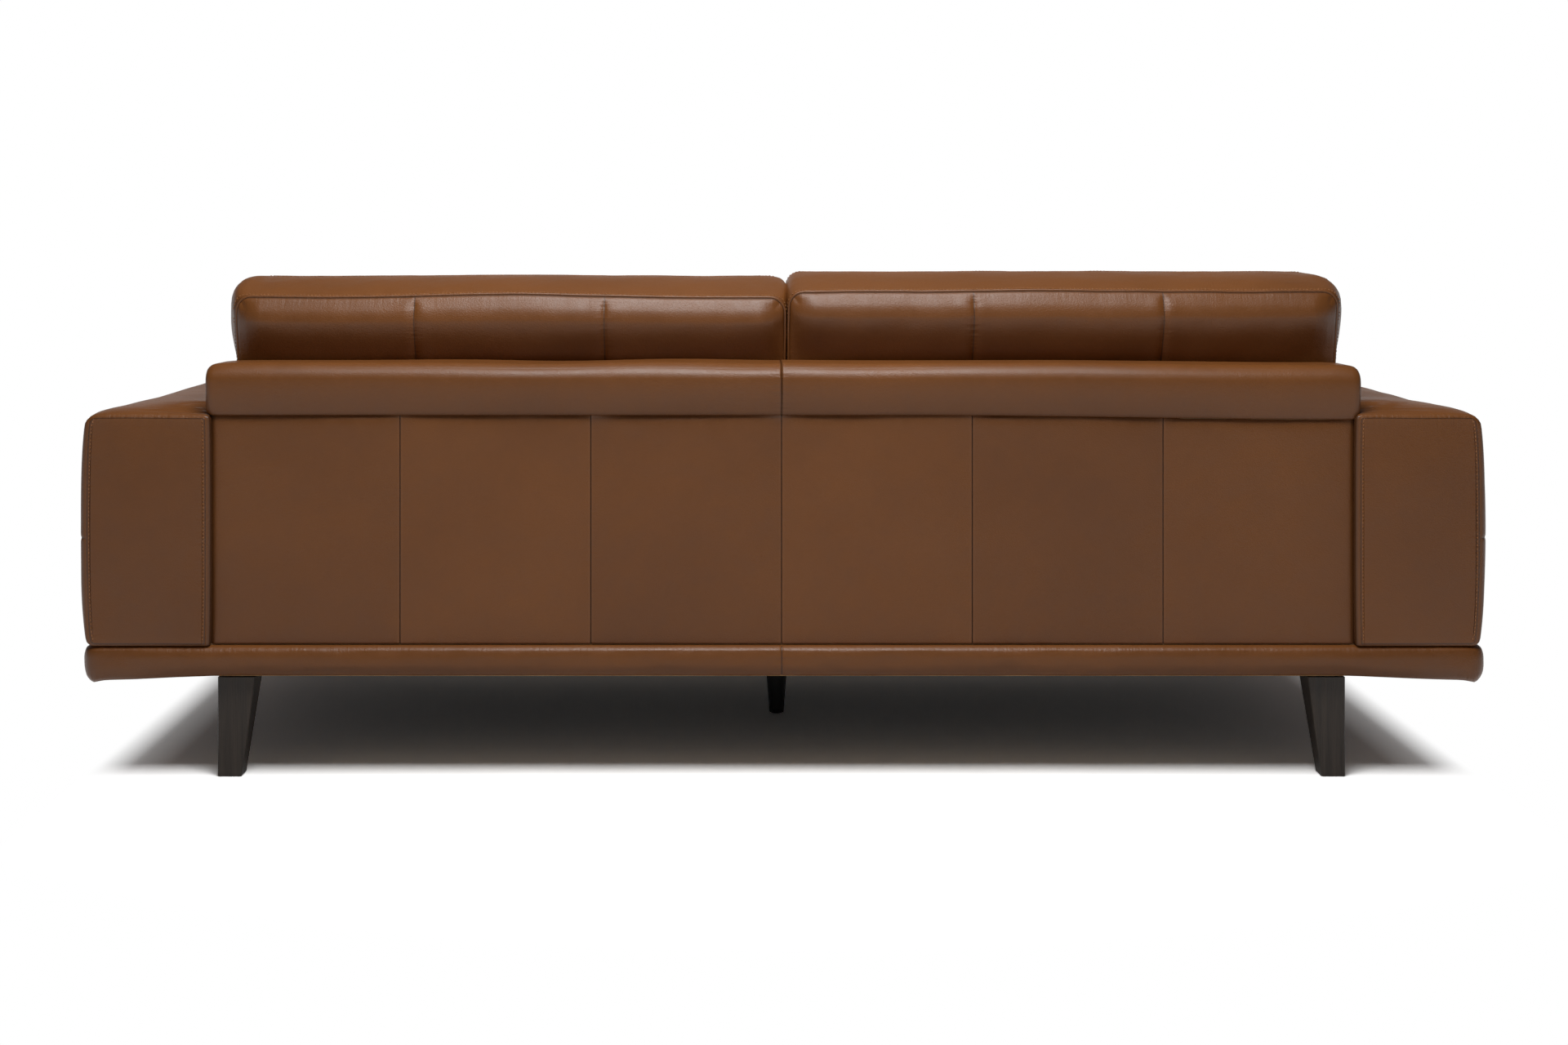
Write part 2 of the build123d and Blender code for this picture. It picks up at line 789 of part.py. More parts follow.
with BuildPart() as band_foam:
    add(band_inner_form)
    back_slab(post_front, post_face, (band_foot, top_rail_level[1]), rail_x, Mode.SUBTRACT)
band_foam.part.label = "back_band_foam"
export_step(band_foam.part, "parts/back_band_foam.step")

for side_name, side in SIDES:
    with BuildPart() as band_cover:
        add(band_outer_form)
        add(band_inner_form, mode=Mode.SUBTRACT)
        back_slab(post_front, post_face, (band_foot, top_rail_level[1]), rail_x, Mode.SUBTRACT)
        block(
            span(side, 0, band_end),
            (back_front(band_foot), band_face),
            (band_foot, band_top),
            Mode.INTERSECT,
        )
    band_cover.part.label = f"back_band_{side_name}"
    export_step(band_cover.part, f"parts/back_band_{side_name}.step")

# Loose cushions ---------------------------------------------------------------------------

cushion_foot = deck_top + fit
back_cushion_rear = back_front(back_cushion_top) - fit
back_cushion_rise = back_cushion_thickness * sin(radians(back_lean))
back_cushion_reach = back_cushion_thickness * cos(radians(back_lean))
back_cushion_crest = back_cushion_top + back_cushion_rise
back_cushion_front = back_cushion_rear - back_cushion_reach
back_cushion_toe = back_cushion_front - (back_cushion_crest - cushion_foot) * slope
seat_y = (-border_face, back_cushion_toe - cushion_gap)
seat_z = (cushion_foot, cushion_foot + seat_cushion_height)


def seat_form(x, inset):
    """A seat cushion between two sides, shrunk by inset."""
    return padded_slab(
        (x[0] + inset, x[1] - inset),
        (seat_y[0] + inset, seat_y[1] - inset),
        (seat_z[0] + inset, seat_z[1] - inset),
        seat_cushion_corner - inset,
        seat_cushion_rim - inset,
    )


def back_cushion_form(x, inset):
    """A leaning back cushion between two sides, shrunk by inset."""
    with BuildPart() as form:
        with BuildSketch(Plane.YZ.offset(x[0] + inset)):
            Polygon(
                (back_cushion_toe, cushion_foot),
                (back_cushion_front, back_cushion_crest),
                (back_cushion_rear, back_cushion_top),
                (back_cushion_rear - (back_cushion_top - cushion_foot) * slope, cushion_foot),
                align=None,
            )
            offset(amount=-inset, kind=Kind.INTERSECTION)
        extrude(amount=x[1] - x[0] - 2 * inset)
        fillet(form.edges(), back_cushion_round - inset)
    return form.part


for side_name, side in SIDES:
    cushion_x = span(side, cushion_gap / 2, arm_inner - cushion_gap)
    for cushion_name, cushion_form in (("seat", seat_form), ("back", back_cushion_form)):
        outer_form = cushion_form(cushion_x, 0)
        inner_form = cushion_form(cushion_x, leather)
        with BuildPart() as cushion_cover:
            add(outer_form)
            add(inner_form, mode=Mode.SUBTRACT)
        cushion_cover.part.label = f"{side_name}_{cushion_name}_cushion_cover"
        export_step(cushion_cover.part, f"parts/{side_name}_{cushion_name}_cushion_cover.step")

        with BuildPart() as cushion_core:
            add(cushion_form(cushion_x, leather + fit))
        cushion_core.part.label = f"{side_name}_{cushion_name}_cushion_core"
        export_step(cushion_core.part, f"parts/{side_name}_{cushion_name}_cushion_core.step")
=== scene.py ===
import math

import bmesh
import bpy
import numpy as np
from mathutils import Matrix, Vector
from mathutils.kdtree import KDTree


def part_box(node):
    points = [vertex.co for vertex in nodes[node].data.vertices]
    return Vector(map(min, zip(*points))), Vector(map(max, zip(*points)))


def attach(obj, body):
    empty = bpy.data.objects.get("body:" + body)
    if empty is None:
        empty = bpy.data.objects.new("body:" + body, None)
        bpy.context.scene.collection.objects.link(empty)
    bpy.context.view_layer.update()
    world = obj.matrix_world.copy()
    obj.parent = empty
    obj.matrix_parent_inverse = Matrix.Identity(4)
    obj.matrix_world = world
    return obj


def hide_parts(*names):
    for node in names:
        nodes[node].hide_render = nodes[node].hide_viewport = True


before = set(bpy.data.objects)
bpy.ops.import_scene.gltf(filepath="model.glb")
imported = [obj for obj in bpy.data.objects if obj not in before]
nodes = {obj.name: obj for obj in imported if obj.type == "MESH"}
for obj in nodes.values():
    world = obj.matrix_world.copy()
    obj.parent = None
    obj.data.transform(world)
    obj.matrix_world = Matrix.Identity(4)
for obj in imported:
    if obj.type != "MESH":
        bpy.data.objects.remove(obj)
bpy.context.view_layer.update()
SIDES = (("left", 1), ("right", -1))
MM = 0.001


# Shader values ------------------------------------------------------------------------------


class Socket:
    """A shader socket. Arithmetic on it adds Math nodes."""

    def __init__(self, shading, socket):
        self.shading, self.socket = shading, socket

    def output(self, name):
        """Another output of the node that this socket is on."""
        return Socket(self.shading, self.socket.node.outputs[name])

    def math(self, operation, first, second):
        return self.shading.node("Math", {"operation": operation}, {0: first, 1: second})

    def __add__(self, other):
        return self.math("ADD", self, other)

    def __sub__(self, other):
        return self.math("SUBTRACT", self, other)

    def __rsub__(self, other):
        return self.math("SUBTRACT", other, self)

    def __mul__(self, other):
        return self.math("MULTIPLY", self, other)

    __radd__, __rmul__ = __add__, __mul__


class Shading:
    """A node tree, and what this file adds to one."""

    def __init__(self, tree):
        self.tree = tree

    def node(self, kind, settings, values, output=0):
        made = self.tree.nodes.new("ShaderNode" + kind)
        for key, setting in settings.items():
            if key == "stops":
                ramp = made.color_ramp.elements
                while len(ramp) < len(setting):
                    ramp.new(0.5)
                for stop, (at, colour) in zip(ramp, setting):
                    stop.position, stop.color = at, colour
            else:
                setattr(made, key, setting)
        for key, value in values.items():
            if isinstance(value, Socket):
                self.tree.links.new(value.socket, made.inputs[key])
            else:
                made.inputs[key].default_value = value
        return Socket(self, made.outputs[output])

    def place(self, scale=(1, 1, 1), shift=(0, 0, 0)):
        """Object coordinates, stretched and shifted."""
        here = self.node("TexCoord", {}, {}, "Object")
        return self.node("Mapping", {}, {"Vector": here, "Scale": scale, "Location": shift})

    def noise(self, vector, scale, detail=3, rough=0.5):
        return self.node("TexNoise", {}, {
            "Vector": vector, "Scale": scale, "Detail": detail, "Roughness": rough}, "Fac")

    def cells(self, vector, scale):
        values = {"Vector": vector, "Scale": scale}
        return self.node("TexVoronoi", {"feature": "SMOOTH_F1"}, values, "Distance")

    def mark(self, name):
        return self.node("Attribute", {"attribute_name": name}, {}, "Fac")

    def steps(self, value, *stops):
        """value, run through a grey ramp with stops of (place, level)."""
        grey = [(at, (level, level, level, 1)) for at, level in stops]
        return self.node("ValToRGB", {"stops": grey}, {"Fac": value})

    def mix(self, share, first, second):
        """A colour between two. The colour sockets of a Mix node are 6 and 7, and its result is 2."""
        return self.node("Mix", {"data_type": "RGBA"}, {0: share, 6: first, 7: second}, 2)

    def bump(self, height, distance, strength=1.0, normal=None):
        values = {"Height": height, "Distance": distance, "Strength": strength}
        if normal is not None:
            values["Normal"] = normal
        return self.node("Bump", {}, values)


class Finish(Shading):
    """A material, built from nodes."""

    def __init__(self, name):
        self.material = bpy.data.materials.new(name)
        self.material.use_nodes = True
        super().__init__(self.material.node_tree)
        self.shader = self.tree.nodes["Principled BSDF"]

    def set(self, **values):
        for key, value in values.items():
            socket = self.shader.inputs[key.replace("_", " ")]
            if isinstance(value, Socket):
                self.tree.links.new(value.socket, socket)
            else:
                socket.default_value = value
        return self.material


def shade(red, green, blue):
    """A colour as painters write it, 0 to 255, turned into light."""
    def light(value):
        value /= 255
        return value / 12.92 if value <= 0.04045 else ((value + 0.055) / 1.055) ** 2.4
    return (light(red), light(green), light(blue), 1.0)


def darker(tone, share):
    return shade(*(share * part for part in tone))


# Materials ----------------------------------------------------------------------------------


def leather(name, shift):
    """Semi-aniline hide: pebbled grain and cloudy dye. Its seams and creases are darkened with painted
    shade, and its edges and welts are made lighter, partly as rubbed wear and partly as painted highlight.
    """
    f = Finish(name)
    cut_from = (shift, 2 * shift, -shift)
    here = f.place(shift=cut_from)
    clouds = f.noise(here, 3.4, 3, 0.55)
    mottle = f.noise(here, 42, 4, 0.6)
    pebbles = f.cells(f.place((1, 1, 1.5), cut_from), 430)
    pores = f.cells(here, 1000)
    share = (clouds - 0.5) * 0.8 + (mottle - 0.5) * 0.3 + (f.mark("hide") - 0.5) * 0.5 + 0.5
    deep_dye, pale_dye = shade(96, 54, 16), shade(131, 78, 31)
    rubbed_and_highlit, seam_shade = shade(150, 102, 68), shade(26, 14, 8)
    colour = f.mix(share, deep_dye, pale_dye)
    # Lighter where the lip mark is set: partly rubbed wear, partly a painted highlight where an edge would
    # catch the light.
    colour = f.mix(f.mark("lip") * 0.22, colour, rubbed_and_highlit)
    # Darker where the seam mark is set: painted shade in seams, gaps and under welts.
    colour = f.mix(f.mark("seam") * 0.85, colour, seam_shade)
    wrinkle = f.noise(here, 180, 3, 0.6)
    upright = f.noise(f.place((16, 16, 170)), 1, 2) * f.mark("pucker_v")
    level = f.noise(f.place((170, 16, 16)), 1, 2) * f.mark("pucker_h")
    grainy = f.steps(clouds * 0.6 + mottle * 0.4, (0.36, 0.25), (0.6, 1))
    relief = f.bump(upright + level, 0.0022)
    relief = f.bump(wrinkle, 0.0003, 0.45, relief)
    relief = f.bump(pebbles * grainy, 0.0005, 0.55, relief)
    relief = f.bump(pores, 0.0002, 0.5, relief)
    gloss = (mottle - 0.5) * 0.14 + pebbles * 0.1 + f.mark("lip") * -0.04 + 0.39
    return f.set(Base_Color=colour, Roughness=gloss, Normal=relief, Specular_IOR_Level=0.52)


def thread(name, tone):
    f = Finish(name)
    twist = f.noise(f.place(), 1400, 2)
    colour = f.mix(twist, darker(tone, 0.7), shade(*tone))
    return f.set(Base_Color=colour, Roughness=0.7, Normal=f.bump(twist, 0.0002))


def wood(name, dark, light, along, gloss):
    """Timber with its grain along one axis."""
    f = Finish(name)
    stretch = [95, 95, 95]
    stretch[along] = 3.2
    here = f.place(tuple(stretch))
    veins = f.noise(here, 1, 5, 0.62)
    fine = f.noise(f.place(tuple(5 * s for s in stretch)), 1, 3, 0.6)
    patch = f.noise(f.place(), 7, 2)
    share = f.steps(veins * 0.65 + fine * 0.3 + patch * 0.15, (0.36, 0), (0.72, 1))
    colour = f.mix(share, dark, light)
    relief = f.bump(veins * 0.5 + fine, 0.0006)
    return f.set(Base_Color=colour, Roughness=share * 0.14 + gloss, Normal=relief)


def steel(name, tone, gloss, scratch):
    f = Finish(name)
    brushed = f.noise(f.place((40, 40, 900)), 1, 3, 0.6)
    spots = f.noise(f.place(), 160, 3)
    colour = f.mix(brushed * 0.5 + spots * 0.5, darker(tone, 0.75), shade(*tone))
    return f.set(Base_Color=colour, Metallic=1.0, Roughness=spots * 0.2 + gloss,
                 Normal=f.bump(brushed, scratch))


def cloth(name, dark, light, threads, depth):
    """Woven or felted cloth: crossed threads with small uneven fibres."""
    f = Finish(name)
    fibres = f.noise(f.place(), threads * 0.8, 3, 0.7)
    warp, weft = (
        f.node("TexWave", {"bands_direction": direction}, {
            "Vector": f.place(), "Scale": threads * 0.16, "Distortion": 1.2, "Detail": 2}, "Fac")
        for direction in "XY")
    weave = warp * 0.4 + weft * 0.4 + fibres * 0.4
    return f.set(Base_Color=f.mix(weave, dark, light), Roughness=0.92, Normal=f.bump(weave, depth))


def plastic(name, tone):
    f = Finish(name)
    grain = f.noise(f.place(), 900, 2)
    colour = f.mix(grain, darker(tone, 0.7), shade(*tone))
    return f.set(Base_Color=colour, Roughness=grain * 0.2 + 0.45, Normal=f.bump(grain, 0.0001))


def board(name):
    f = Finish(name)
    pulp = f.noise(f.place((60, 60, 240)), 1, 5, 0.7)
    colour = f.mix(pulp, shade(128, 104, 76), shade(166, 140, 106))
    return f.set(Base_Color=colour, Roughness=0.9, Normal=f.bump(pulp, 0.0004))


LEATHERS = {
    "plinth_leather": leather("plinth_leather", 3.1),
    "arm_leather": leather("arm_leather", 7.7),
    "back_leather": leather("back_leather", 12.4),
    "cushion_leather": leather("cushion_leather", 18.9),
}
SEWING = thread("sewing_thread", (196, 134, 84))
WENGE = wood("dark_stained_wood", shade(38, 31, 26), shade(72, 62, 54), 2, 0.42)
BLACK_WOOD = wood("black_stained_wood", shade(14, 12, 11), shade(30, 27, 25), 2, 0.4)
PINE_X = wood("softwood_lengthwise", shade(176, 132, 82), shade(222, 186, 134), 0, 0.6)
PINE_Y = wood("softwood_crosswise", shade(176, 132, 82), shade(222, 186, 134), 1, 0.6)
PINE_Z = wood("softwood_upright", shade(170, 126, 78), shade(218, 180, 128), 2, 0.6)
ZINC = steel("zinc_plate", (190, 192, 198), 0.3, 0.00005)
WIRE = steel("drawn_wire", (120, 120, 124), 0.34, 0.00004)
UNDER_CLOTH = cloth("black_cloth", shade(16, 16, 17), shade(40, 40, 42), 700, 0.0003)
ELASTIC = cloth("elastic_webbing", shade(58, 50, 40), shade(112, 98, 76), 500, 0.0006)
GLIDE = plastic("glide_plastic", (44, 44, 46))
BOARD = board("pressed_board")

CAD_FINISHES = {
    WENGE: ["rear_left_leg", "rear_right_leg", "front_left_leg", "front_right_leg"],
    BLACK_WOOD: ["centre_support_leg"],
    GLIDE: ["leg_glides"],
    ZINC: ["leg_bolts", "leg_plates", "plate_screws", "frame_bolts", "spring_clips"],
    WIRE: ["seat_springs"],
    PINE_X: ["base_front_rail", "base_rear_rail", "seat_rails", "back_rails"],
    PINE_Y: [
        "base_side_rails", "base_cross_rails", "corner_blocks", "left_arm_frame", "right_arm_frame"],
    PINE_Z: ["back_posts"],
    BOARD: ["back_outer_board"],
    ELASTIC: ["back_webbing"],
}
for finish, names in CAD_FINISHES.items():
    for name in names:
        for slot in nodes[name].material_slots:
            slot.material = finish


# Sewn pieces --------------------------------------------------------------------------------

RIM_LINES = (0.1, 0.3, 0.6, 1.0)                   # vertex lines over a rim, as shares of it
SEAM_LINES = (-7, -4, -2.2, -1, 0, 1, 2.2, 4, 7)   # vertex lines beside a seam, in mm
# The seam mark paints shade into seams and gaps. The lip mark paints highlight onto edges, along with some
# rubbed wear. The pucker marks raise bumps, and hide shifts the dye's tone.
MARKS = ("seam", "lip", "pucker_v", "pucker_h", "hide")
ON_FACE = 1e-4             # a place this close to a face of its flat box lies on it
WELT_RADIUS, WELT_LIFT = 2.2 * MM, 0.4 * MM
STITCH_PITCH, STITCH_LENGTH, STITCH_RADIUS, STITCH_LIFT = 6 * MM, 4 * MM, 0.7 * MM, 0.5 * MM


def lines(low, high, pitch, rim=0.0, seams=()):
    """Places of a piece's vertex lines, closer together by its ends and beside its seams."""
    kept = [low, high]
    if rim:
        for part in RIM_LINES:
            kept += [low + rim * part, high - rim * part]
    for seam in seams:
        for place in (seam + step * MM for step in SEAM_LINES):
            if low < place < high and min(place - low, high - place) > 0.4 * MM:
                kept.append(place)
    count = max(1, round((high - low) / pitch))
    for place in np.linspace(low, high, count + 1):
        if min(abs(place - other) for other in kept) > 0.45 * pitch:
            kept.append(place)
    return sorted(kept)


def waves(points, length, seed, count=20):
    """Smooth random waves of about that length, mostly between -1 and 1."""
    chance = np.random.default_rng(seed)
    heading = chance.normal(size=(count, 3))
    heading /= np.linalg.norm(heading, axis=1, keepdims=True)
    heading *= (2 * np.pi / (length * chance.uniform(0.7, 1.7, count)))[:, None]
    phase = chance.uniform(0, 2 * np.pi, count)
    return np.sin(points @ heading.T + phase).sum(axis=1) / math.sqrt(count)


def ease(value, start, end):
    """0 before start, 1 after end, smooth between."""
    share = np.clip((value - start) / (end - start), 0, 1)
    return share * share * (3 - 2 * share)


def near(distance, width):
    """1 at no distance, fading to nothing over a few widths."""
    return np.exp(-(distance / width) ** 2)


def from_edge(*spans):
    """How far places lie inside the nearest end of some spans, each (places, low, high)."""
    return np.minimum.reduce([np.minimum(at - low, high - at) for at, low, high in spans])


def boxed(flat, axis, corners, rims):
    """A box as a pad: an outline with round corners, and two faces across `axis` that round into it.
    corners: radii at the outline's (low, low), (high, low), (high, high) and (low, high) corners.
    rims: (width over the face, height down the side) of the rounding at the low and high face."""
    low, high = flat.min(axis=0), flat.max(axis=0)
    first, second = (i for i in range(3) if i != axis)
    middle, half = (low + high) / 2, (high - low) / 2
    u, v = flat[:, first] - middle[first], flat[:, second] - middle[second]
    a, b = half[first], half[second]
    inset = np.minimum(a - np.abs(u), b - np.abs(v))
    out, level = inset.copy(), flat[:, axis].copy()
    for (width, height), end, sign in ((rims[0], low[axis], 1), (rims[1], high[axis], -1)):
        run = np.clip(1 - inset / width, 0, 1)
        rise = np.clip(1 - sign * (flat[:, axis] - end) / height, 0, 1)
        here = (run > 0) & (rise > 0)
        length = np.hypot(run[here], rise[here])
        out[here] = width * (1 - run[here] / length)
        level[here] = end + sign * height * (1 - rise[here] / length)

    def drawn_in(half_size):
        """How much nearer the middle the rounding brings places."""
        old, new = half_size - inset, half_size - out
        return np.where(old > 1e-6, new / np.maximum(old, 1e-6), 1)

    u, v = u * drawn_in(a), v * drawn_in(b)
    radius = np.select(
        [(u <= 0) & (v <= 0), (u > 0) & (v <= 0), (u > 0) & (v > 0)], corners[:3], corners[3])
    radius = np.maximum(radius - out, 0)
    core_u = np.clip(u, radius - (a - out), (a - out) - radius)
    core_v = np.clip(v, radius - (b - out), (b - out) - radius)
    du, dv = u - core_u, v - core_v
    reach = np.hypot(du, dv)
    pull = np.where(reach > 1e-9, radius / np.maximum(reach, 1e-9), 1)
    corner = (np.abs(du) > 1e-9) & (np.abs(dv) > 1e-9) & (radius > 0)
    u = np.where(corner, core_u + du * pull, u)
    v = np.where(corner, core_v + dv * pull, v)
    placed = np.empty_like(flat)
    placed[:, first], placed[:, second], placed[:, axis] = u + middle[first], v + middle[second], level
    return placed


class Skin:
    """A sewn piece. `flat` holds its vertices on a plain box, `place` where they lie now.
    Its box gets vertex lines at the places across, deep and tall. opening is half the size of a
    hole through its top and foot."""

    def __init__(self, across, deep, tall, opening=None):
        work = bmesh.new()
        bmesh.ops.create_cube(work, size=2)
        for axis, ticks in enumerate((across, deep, tall)):
            along = [e for e in work.edges if abs((e.verts[0].co - e.verts[1].co)[axis]) > 1.9]
            bmesh.ops.subdivide_edges(work, edges=along, cuts=len(ticks) - 2)
        for vert in work.verts:
            for axis, ticks in enumerate((across, deep, tall)):
                vert.co[axis] = ticks[round((vert.co[axis] + 1) / 2 * (len(ticks) - 1))]
        if opening:
            inside = [f for f in work.faces if abs(f.normal.z) > 0.5
                      and abs(f.calc_center_median().x) < opening[0]
                      and abs(f.calc_center_median().y) < opening[1]]
            bmesh.ops.delete(work, geom=inside, context="FACES")
            bmesh.ops.bridge_loops(work, edges=[e for e in work.edges if e.is_boundary])
            bmesh.ops.recalc_face_normals(work, faces=work.faces[:])
        self.mesh = bpy.data.meshes.new("skin")
        work.to_mesh(self.mesh)
        work.free()
        flat = np.empty(3 * len(self.mesh.vertices))
        self.mesh.vertices.foreach_get("co", flat)
        self.flat = flat.reshape(-1, 3)
        self.place = self.flat.copy()
        self.marks = {name: np.zeros(len(self.flat)) for name in MARKS}
        self.marks["hide"] += 0.5

    def normals(self):
        self.mesh.vertices.foreach_set("co", self.place.ravel())
        self.mesh.update()
        found = np.empty(3 * len(self.flat))
        self.mesh.vertex_normals.foreach_get("vector", found)
        return found.reshape(-1, 3)

    def swell(self, height):
        self.place += self.normals() * np.asarray(height).reshape(-1, 1)

    def mark(self, name, value):
        self.marks[name] = np.maximum(self.marks[name], value)

    def groove(self, distance, depth, width, dark=1.0, here=1.0):
        """A sewn seam: the hide dips into it, and the line itself is painted dark, as painted shade in the
        groove; dark sets how strong that painted shade is.
        """
        self.swell(-depth * near(distance, width) * here)
        self.mark("seam", dark * near(distance, 0.9 * MM) * here)

    def tree(self):
        found = KDTree(len(self.flat))
        for index, point in enumerate(self.flat):
            found.insert(point, index)
        found.balance()
        return found

    def follow(self, points, lift):
        """Where points given on the flat box lie now, and which way the surface faces there."""
        normal, found, placed, facing = self.normals(), self.tree(), [], []
        for point in points:
            close = found.find_n(point, 4)
            index = [found_index for _, found_index, _ in close]
            weight = np.array([1 / (distance + 1e-5) ** 2 for _, _, distance in close])
            weight /= weight.sum()
            up = weight @ normal[index]
            up /= np.linalg.norm(up)
            moved = self.place[index] + np.asarray(point) - self.flat[index]
            placed.append(weight @ moved + lift * up)
            facing.append(up)
        return np.array(placed), np.array(facing)

    def loop(self, axis, level):
        """Places and normals round the outline that a face across `axis` has at a level, in order."""
        low, high = self.flat.min(axis=0), self.flat.max(axis=0)
        first, second = (i for i in range(3) if i != axis)
        u, v = self.flat[:, first], self.flat[:, second]
        border = from_edge((u, low[first], high[first]), (v, low[second], high[second]))
        index = np.flatnonzero((border < 1e-5) & (np.abs(self.flat[:, axis] - level) < 1e-5))
        middle, size = (low + high) / 2, high - low
        angle = np.arctan2((v[index] - middle[second]) / size[second],
                           (u[index] - middle[first]) / size[first])
        index = index[np.argsort(angle)]
        return self.place[index], self.normals()[index]

    def piece(self, name, slot, body, replaces=(), material=None, mirrored=False):
        """Puts the skin into the scene. A mirrored one has its faces turned outwards again."""
        self.normals()
        if mirrored:
            self.mesh.flip_normals()
        for key, values in self.marks.items():
            layer = self.mesh.attributes.new(key, "FLOAT", "POINT")
            layer.data.foreach_set("value", np.clip(values, 0, 1).astype(np.float32))
        return placed_piece(name, self.mesh, material or LEATHERS[slot], body, replaces)


def placed_piece(name, mesh, material, body, replaces=()):
    """Puts a finished mesh into the scene as a piece that rides on a body."""
    mesh.materials.clear()
    mesh.materials.append(material)
    mesh.shade_smooth()
    made = bpy.data.objects.new(name, mesh)
    mesh.name = name
    bpy.context.scene.collection.objects.link(made)
    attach(made, body)
    if replaces:
        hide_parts(*replaces)
    return made


def welt(name, points, slot, body):
    """A round welt of leather along a closed loop of points."""
    curve = bpy.data.curves.new(name, "CURVE")
    curve.dimensions = "3D"
    curve.bevel_depth, curve.bevel_resolution = WELT_RADIUS, 3
    spline = curve.splines.new("POLY")
    spline.points.add(len(points) - 1)
    for point, at in zip(spline.points, points):
        point.co = (*at, 1)
    spline.use_cyclic_u = True
    shown = bpy.data.objects.new(name, curve)
    mesh = bpy.data.meshes.new_from_object(shown)
    bpy.data.objects.remove(shown)
    bpy.data.curves.remove(curve)
    # Welts get the lip mark: a painted highlight along the piping, with some rubbed wear.
    for mark, level in (("lip", 0.55), ("hide", 0.5)):
        layer = mesh.attributes.new(mark, "FLOAT", "POINT")
        layer.data.foreach_set("value", np.full(len(mesh.vertices), level, np.float32))
    return placed_piece(name, mesh, LEATHERS[slot], body)


def path(*corners, step=0.004):
    """Points from corner to corner, a small step apart."""
    points = []
    for start, end in zip(corners, corners[1:]):
        start, end = np.asarray(start, float), np.asarray(end, float)
        count = max(1, round(np.linalg.norm(end - start) / step))
        points += [start + (end - start) * i / count for i in range(count)]
    return points + [np.asarray(corners[-1], float)]


def stitches(name, skin, rows, body):
    """Rows of topstitching that lie on a skin."""
    work = bmesh.new()
    for row in rows:
        placed, facing = skin.follow(row, STITCH_LIFT)
        run = np.concatenate([[0], np.cumsum(np.linalg.norm(np.diff(placed, axis=0), axis=1))])
        for at in np.arange(STITCH_PITCH / 2, run[-1], STITCH_PITCH):
            here = np.array([np.interp(at, run, placed[:, i]) for i in range(3)])
            ahead = np.array([np.interp(at + 0.3 * MM, run, placed[:, i]) for i in range(3)])
            up = Vector([np.interp(at, run, facing[:, i]) for i in range(3)])
            along = Vector(ahead - here)
            if along.length < 1e-7:
                continue
            along.normalize()
            side = up.cross(along).normalized()
            turn = Matrix((along, side, along.cross(side))).transposed().to_4x4()
            size = Matrix.Diagonal((STITCH_LENGTH / 2, STITCH_RADIUS, STITCH_RADIUS * 0.8, 1))
            bmesh.ops.create_uvsphere(work, u_segments=6, v_segments=4, radius=1,
                                      matrix=Matrix.Translation(here) @ turn @ size)
    mesh = bpy.data.meshes.new(name)
    work.to_mesh(mesh)
    work.free()
    return placed_piece(name, mesh, SEWING, body)


def corners_of(node):
    return (np.array(p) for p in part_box(node))


# Plinth -------------------------------------------------------------------------------------

rear_low, rear_high = corners_of("plinth_cover_rear")
_, end_high = corners_of("plinth_cover_left")
plinth_x, plinth_y = end_high[0], rear_high[1]
plinth_foot, plinth_top = rear_low[2], rear_high[2]
dust_low, dust_high = corners_of("dust_cover")

PLINTH_CORNER = 28 * MM
PLINTH_FLAP = 74 * MM      # leather folded in under the base
PLINTH_LIFT = 5 * MM       # the foot's rise between the ends
PLINTH_END_DROP = 8 * MM   # how far the gathered ends hang below that
RIGHT_END_REACH = 8 * MM

plinth = Skin(
    lines(-plinth_x, plinth_x, 9 * MM, 30 * MM, (0,)),
    lines(-plinth_y, plinth_y, 12 * MM, 30 * MM),
    lines(plinth_foot, plinth_top, 4.4 * MM, 6 * MM),
    opening=(plinth_x - PLINTH_FLAP, plinth_y - PLINTH_FLAP),
)
x, y, z = plinth.flat.T
plinth.place = boxed(plinth.flat, 2, (PLINTH_CORNER,) * 4, ((13 * MM, 25 * MM), (11 * MM, 20 * MM)))
from_end, from_side, below = plinth_x - np.abs(x), plinth_y - np.abs(y), plinth_top - z
wall = near(np.minimum(from_end, from_side), 8 * MM)
unevenness = 0.5 * waves(plinth.flat * (1, 1, 3), 0.11, 3) + 0.2 * waves(plinth.flat, 0.03, 4)
plinth.swell(wall * unevenness * MM)
gather = near(from_end - 17 * MM, 13 * MM) * near(from_side, 40 * MM)
plinth.place[:, 2] -= 3.6 * MM * gather * ease(below, 0.02, 0.053)
foot_rise = PLINTH_LIFT - PLINTH_END_DROP * ease(np.abs(x), 0.86, 1.12)
plinth.place[:, 2] += ease(below, 0.01, 0.053) * foot_rise
plinth.place[:, 0] -= RIGHT_END_REACH * ease(-x, 1, 1.1)
at_faces = from_side < 12 * MM
plinth.groove(x, 1.2 * MM, 2.2 * MM, here=at_faces)
plinth.mark("pucker_v", 0.5 * near(x, 14 * MM) * at_faces)
plinth.mark("pucker_h", 0.35 * near(below, 9 * MM) * wall)
plinth.mark("pucker_h", 0.8 * near(from_end - 20 * MM, 24 * MM) * wall * ease(below, 0.03, 0.05))
plinth.piece(
    "plinth_upholstery", "plinth_leather", "sofa_frame",
    ("plinth_cover_rear", "plinth_cover_front", "plinth_cover_left", "plinth_cover_right", "plinth_foam"))

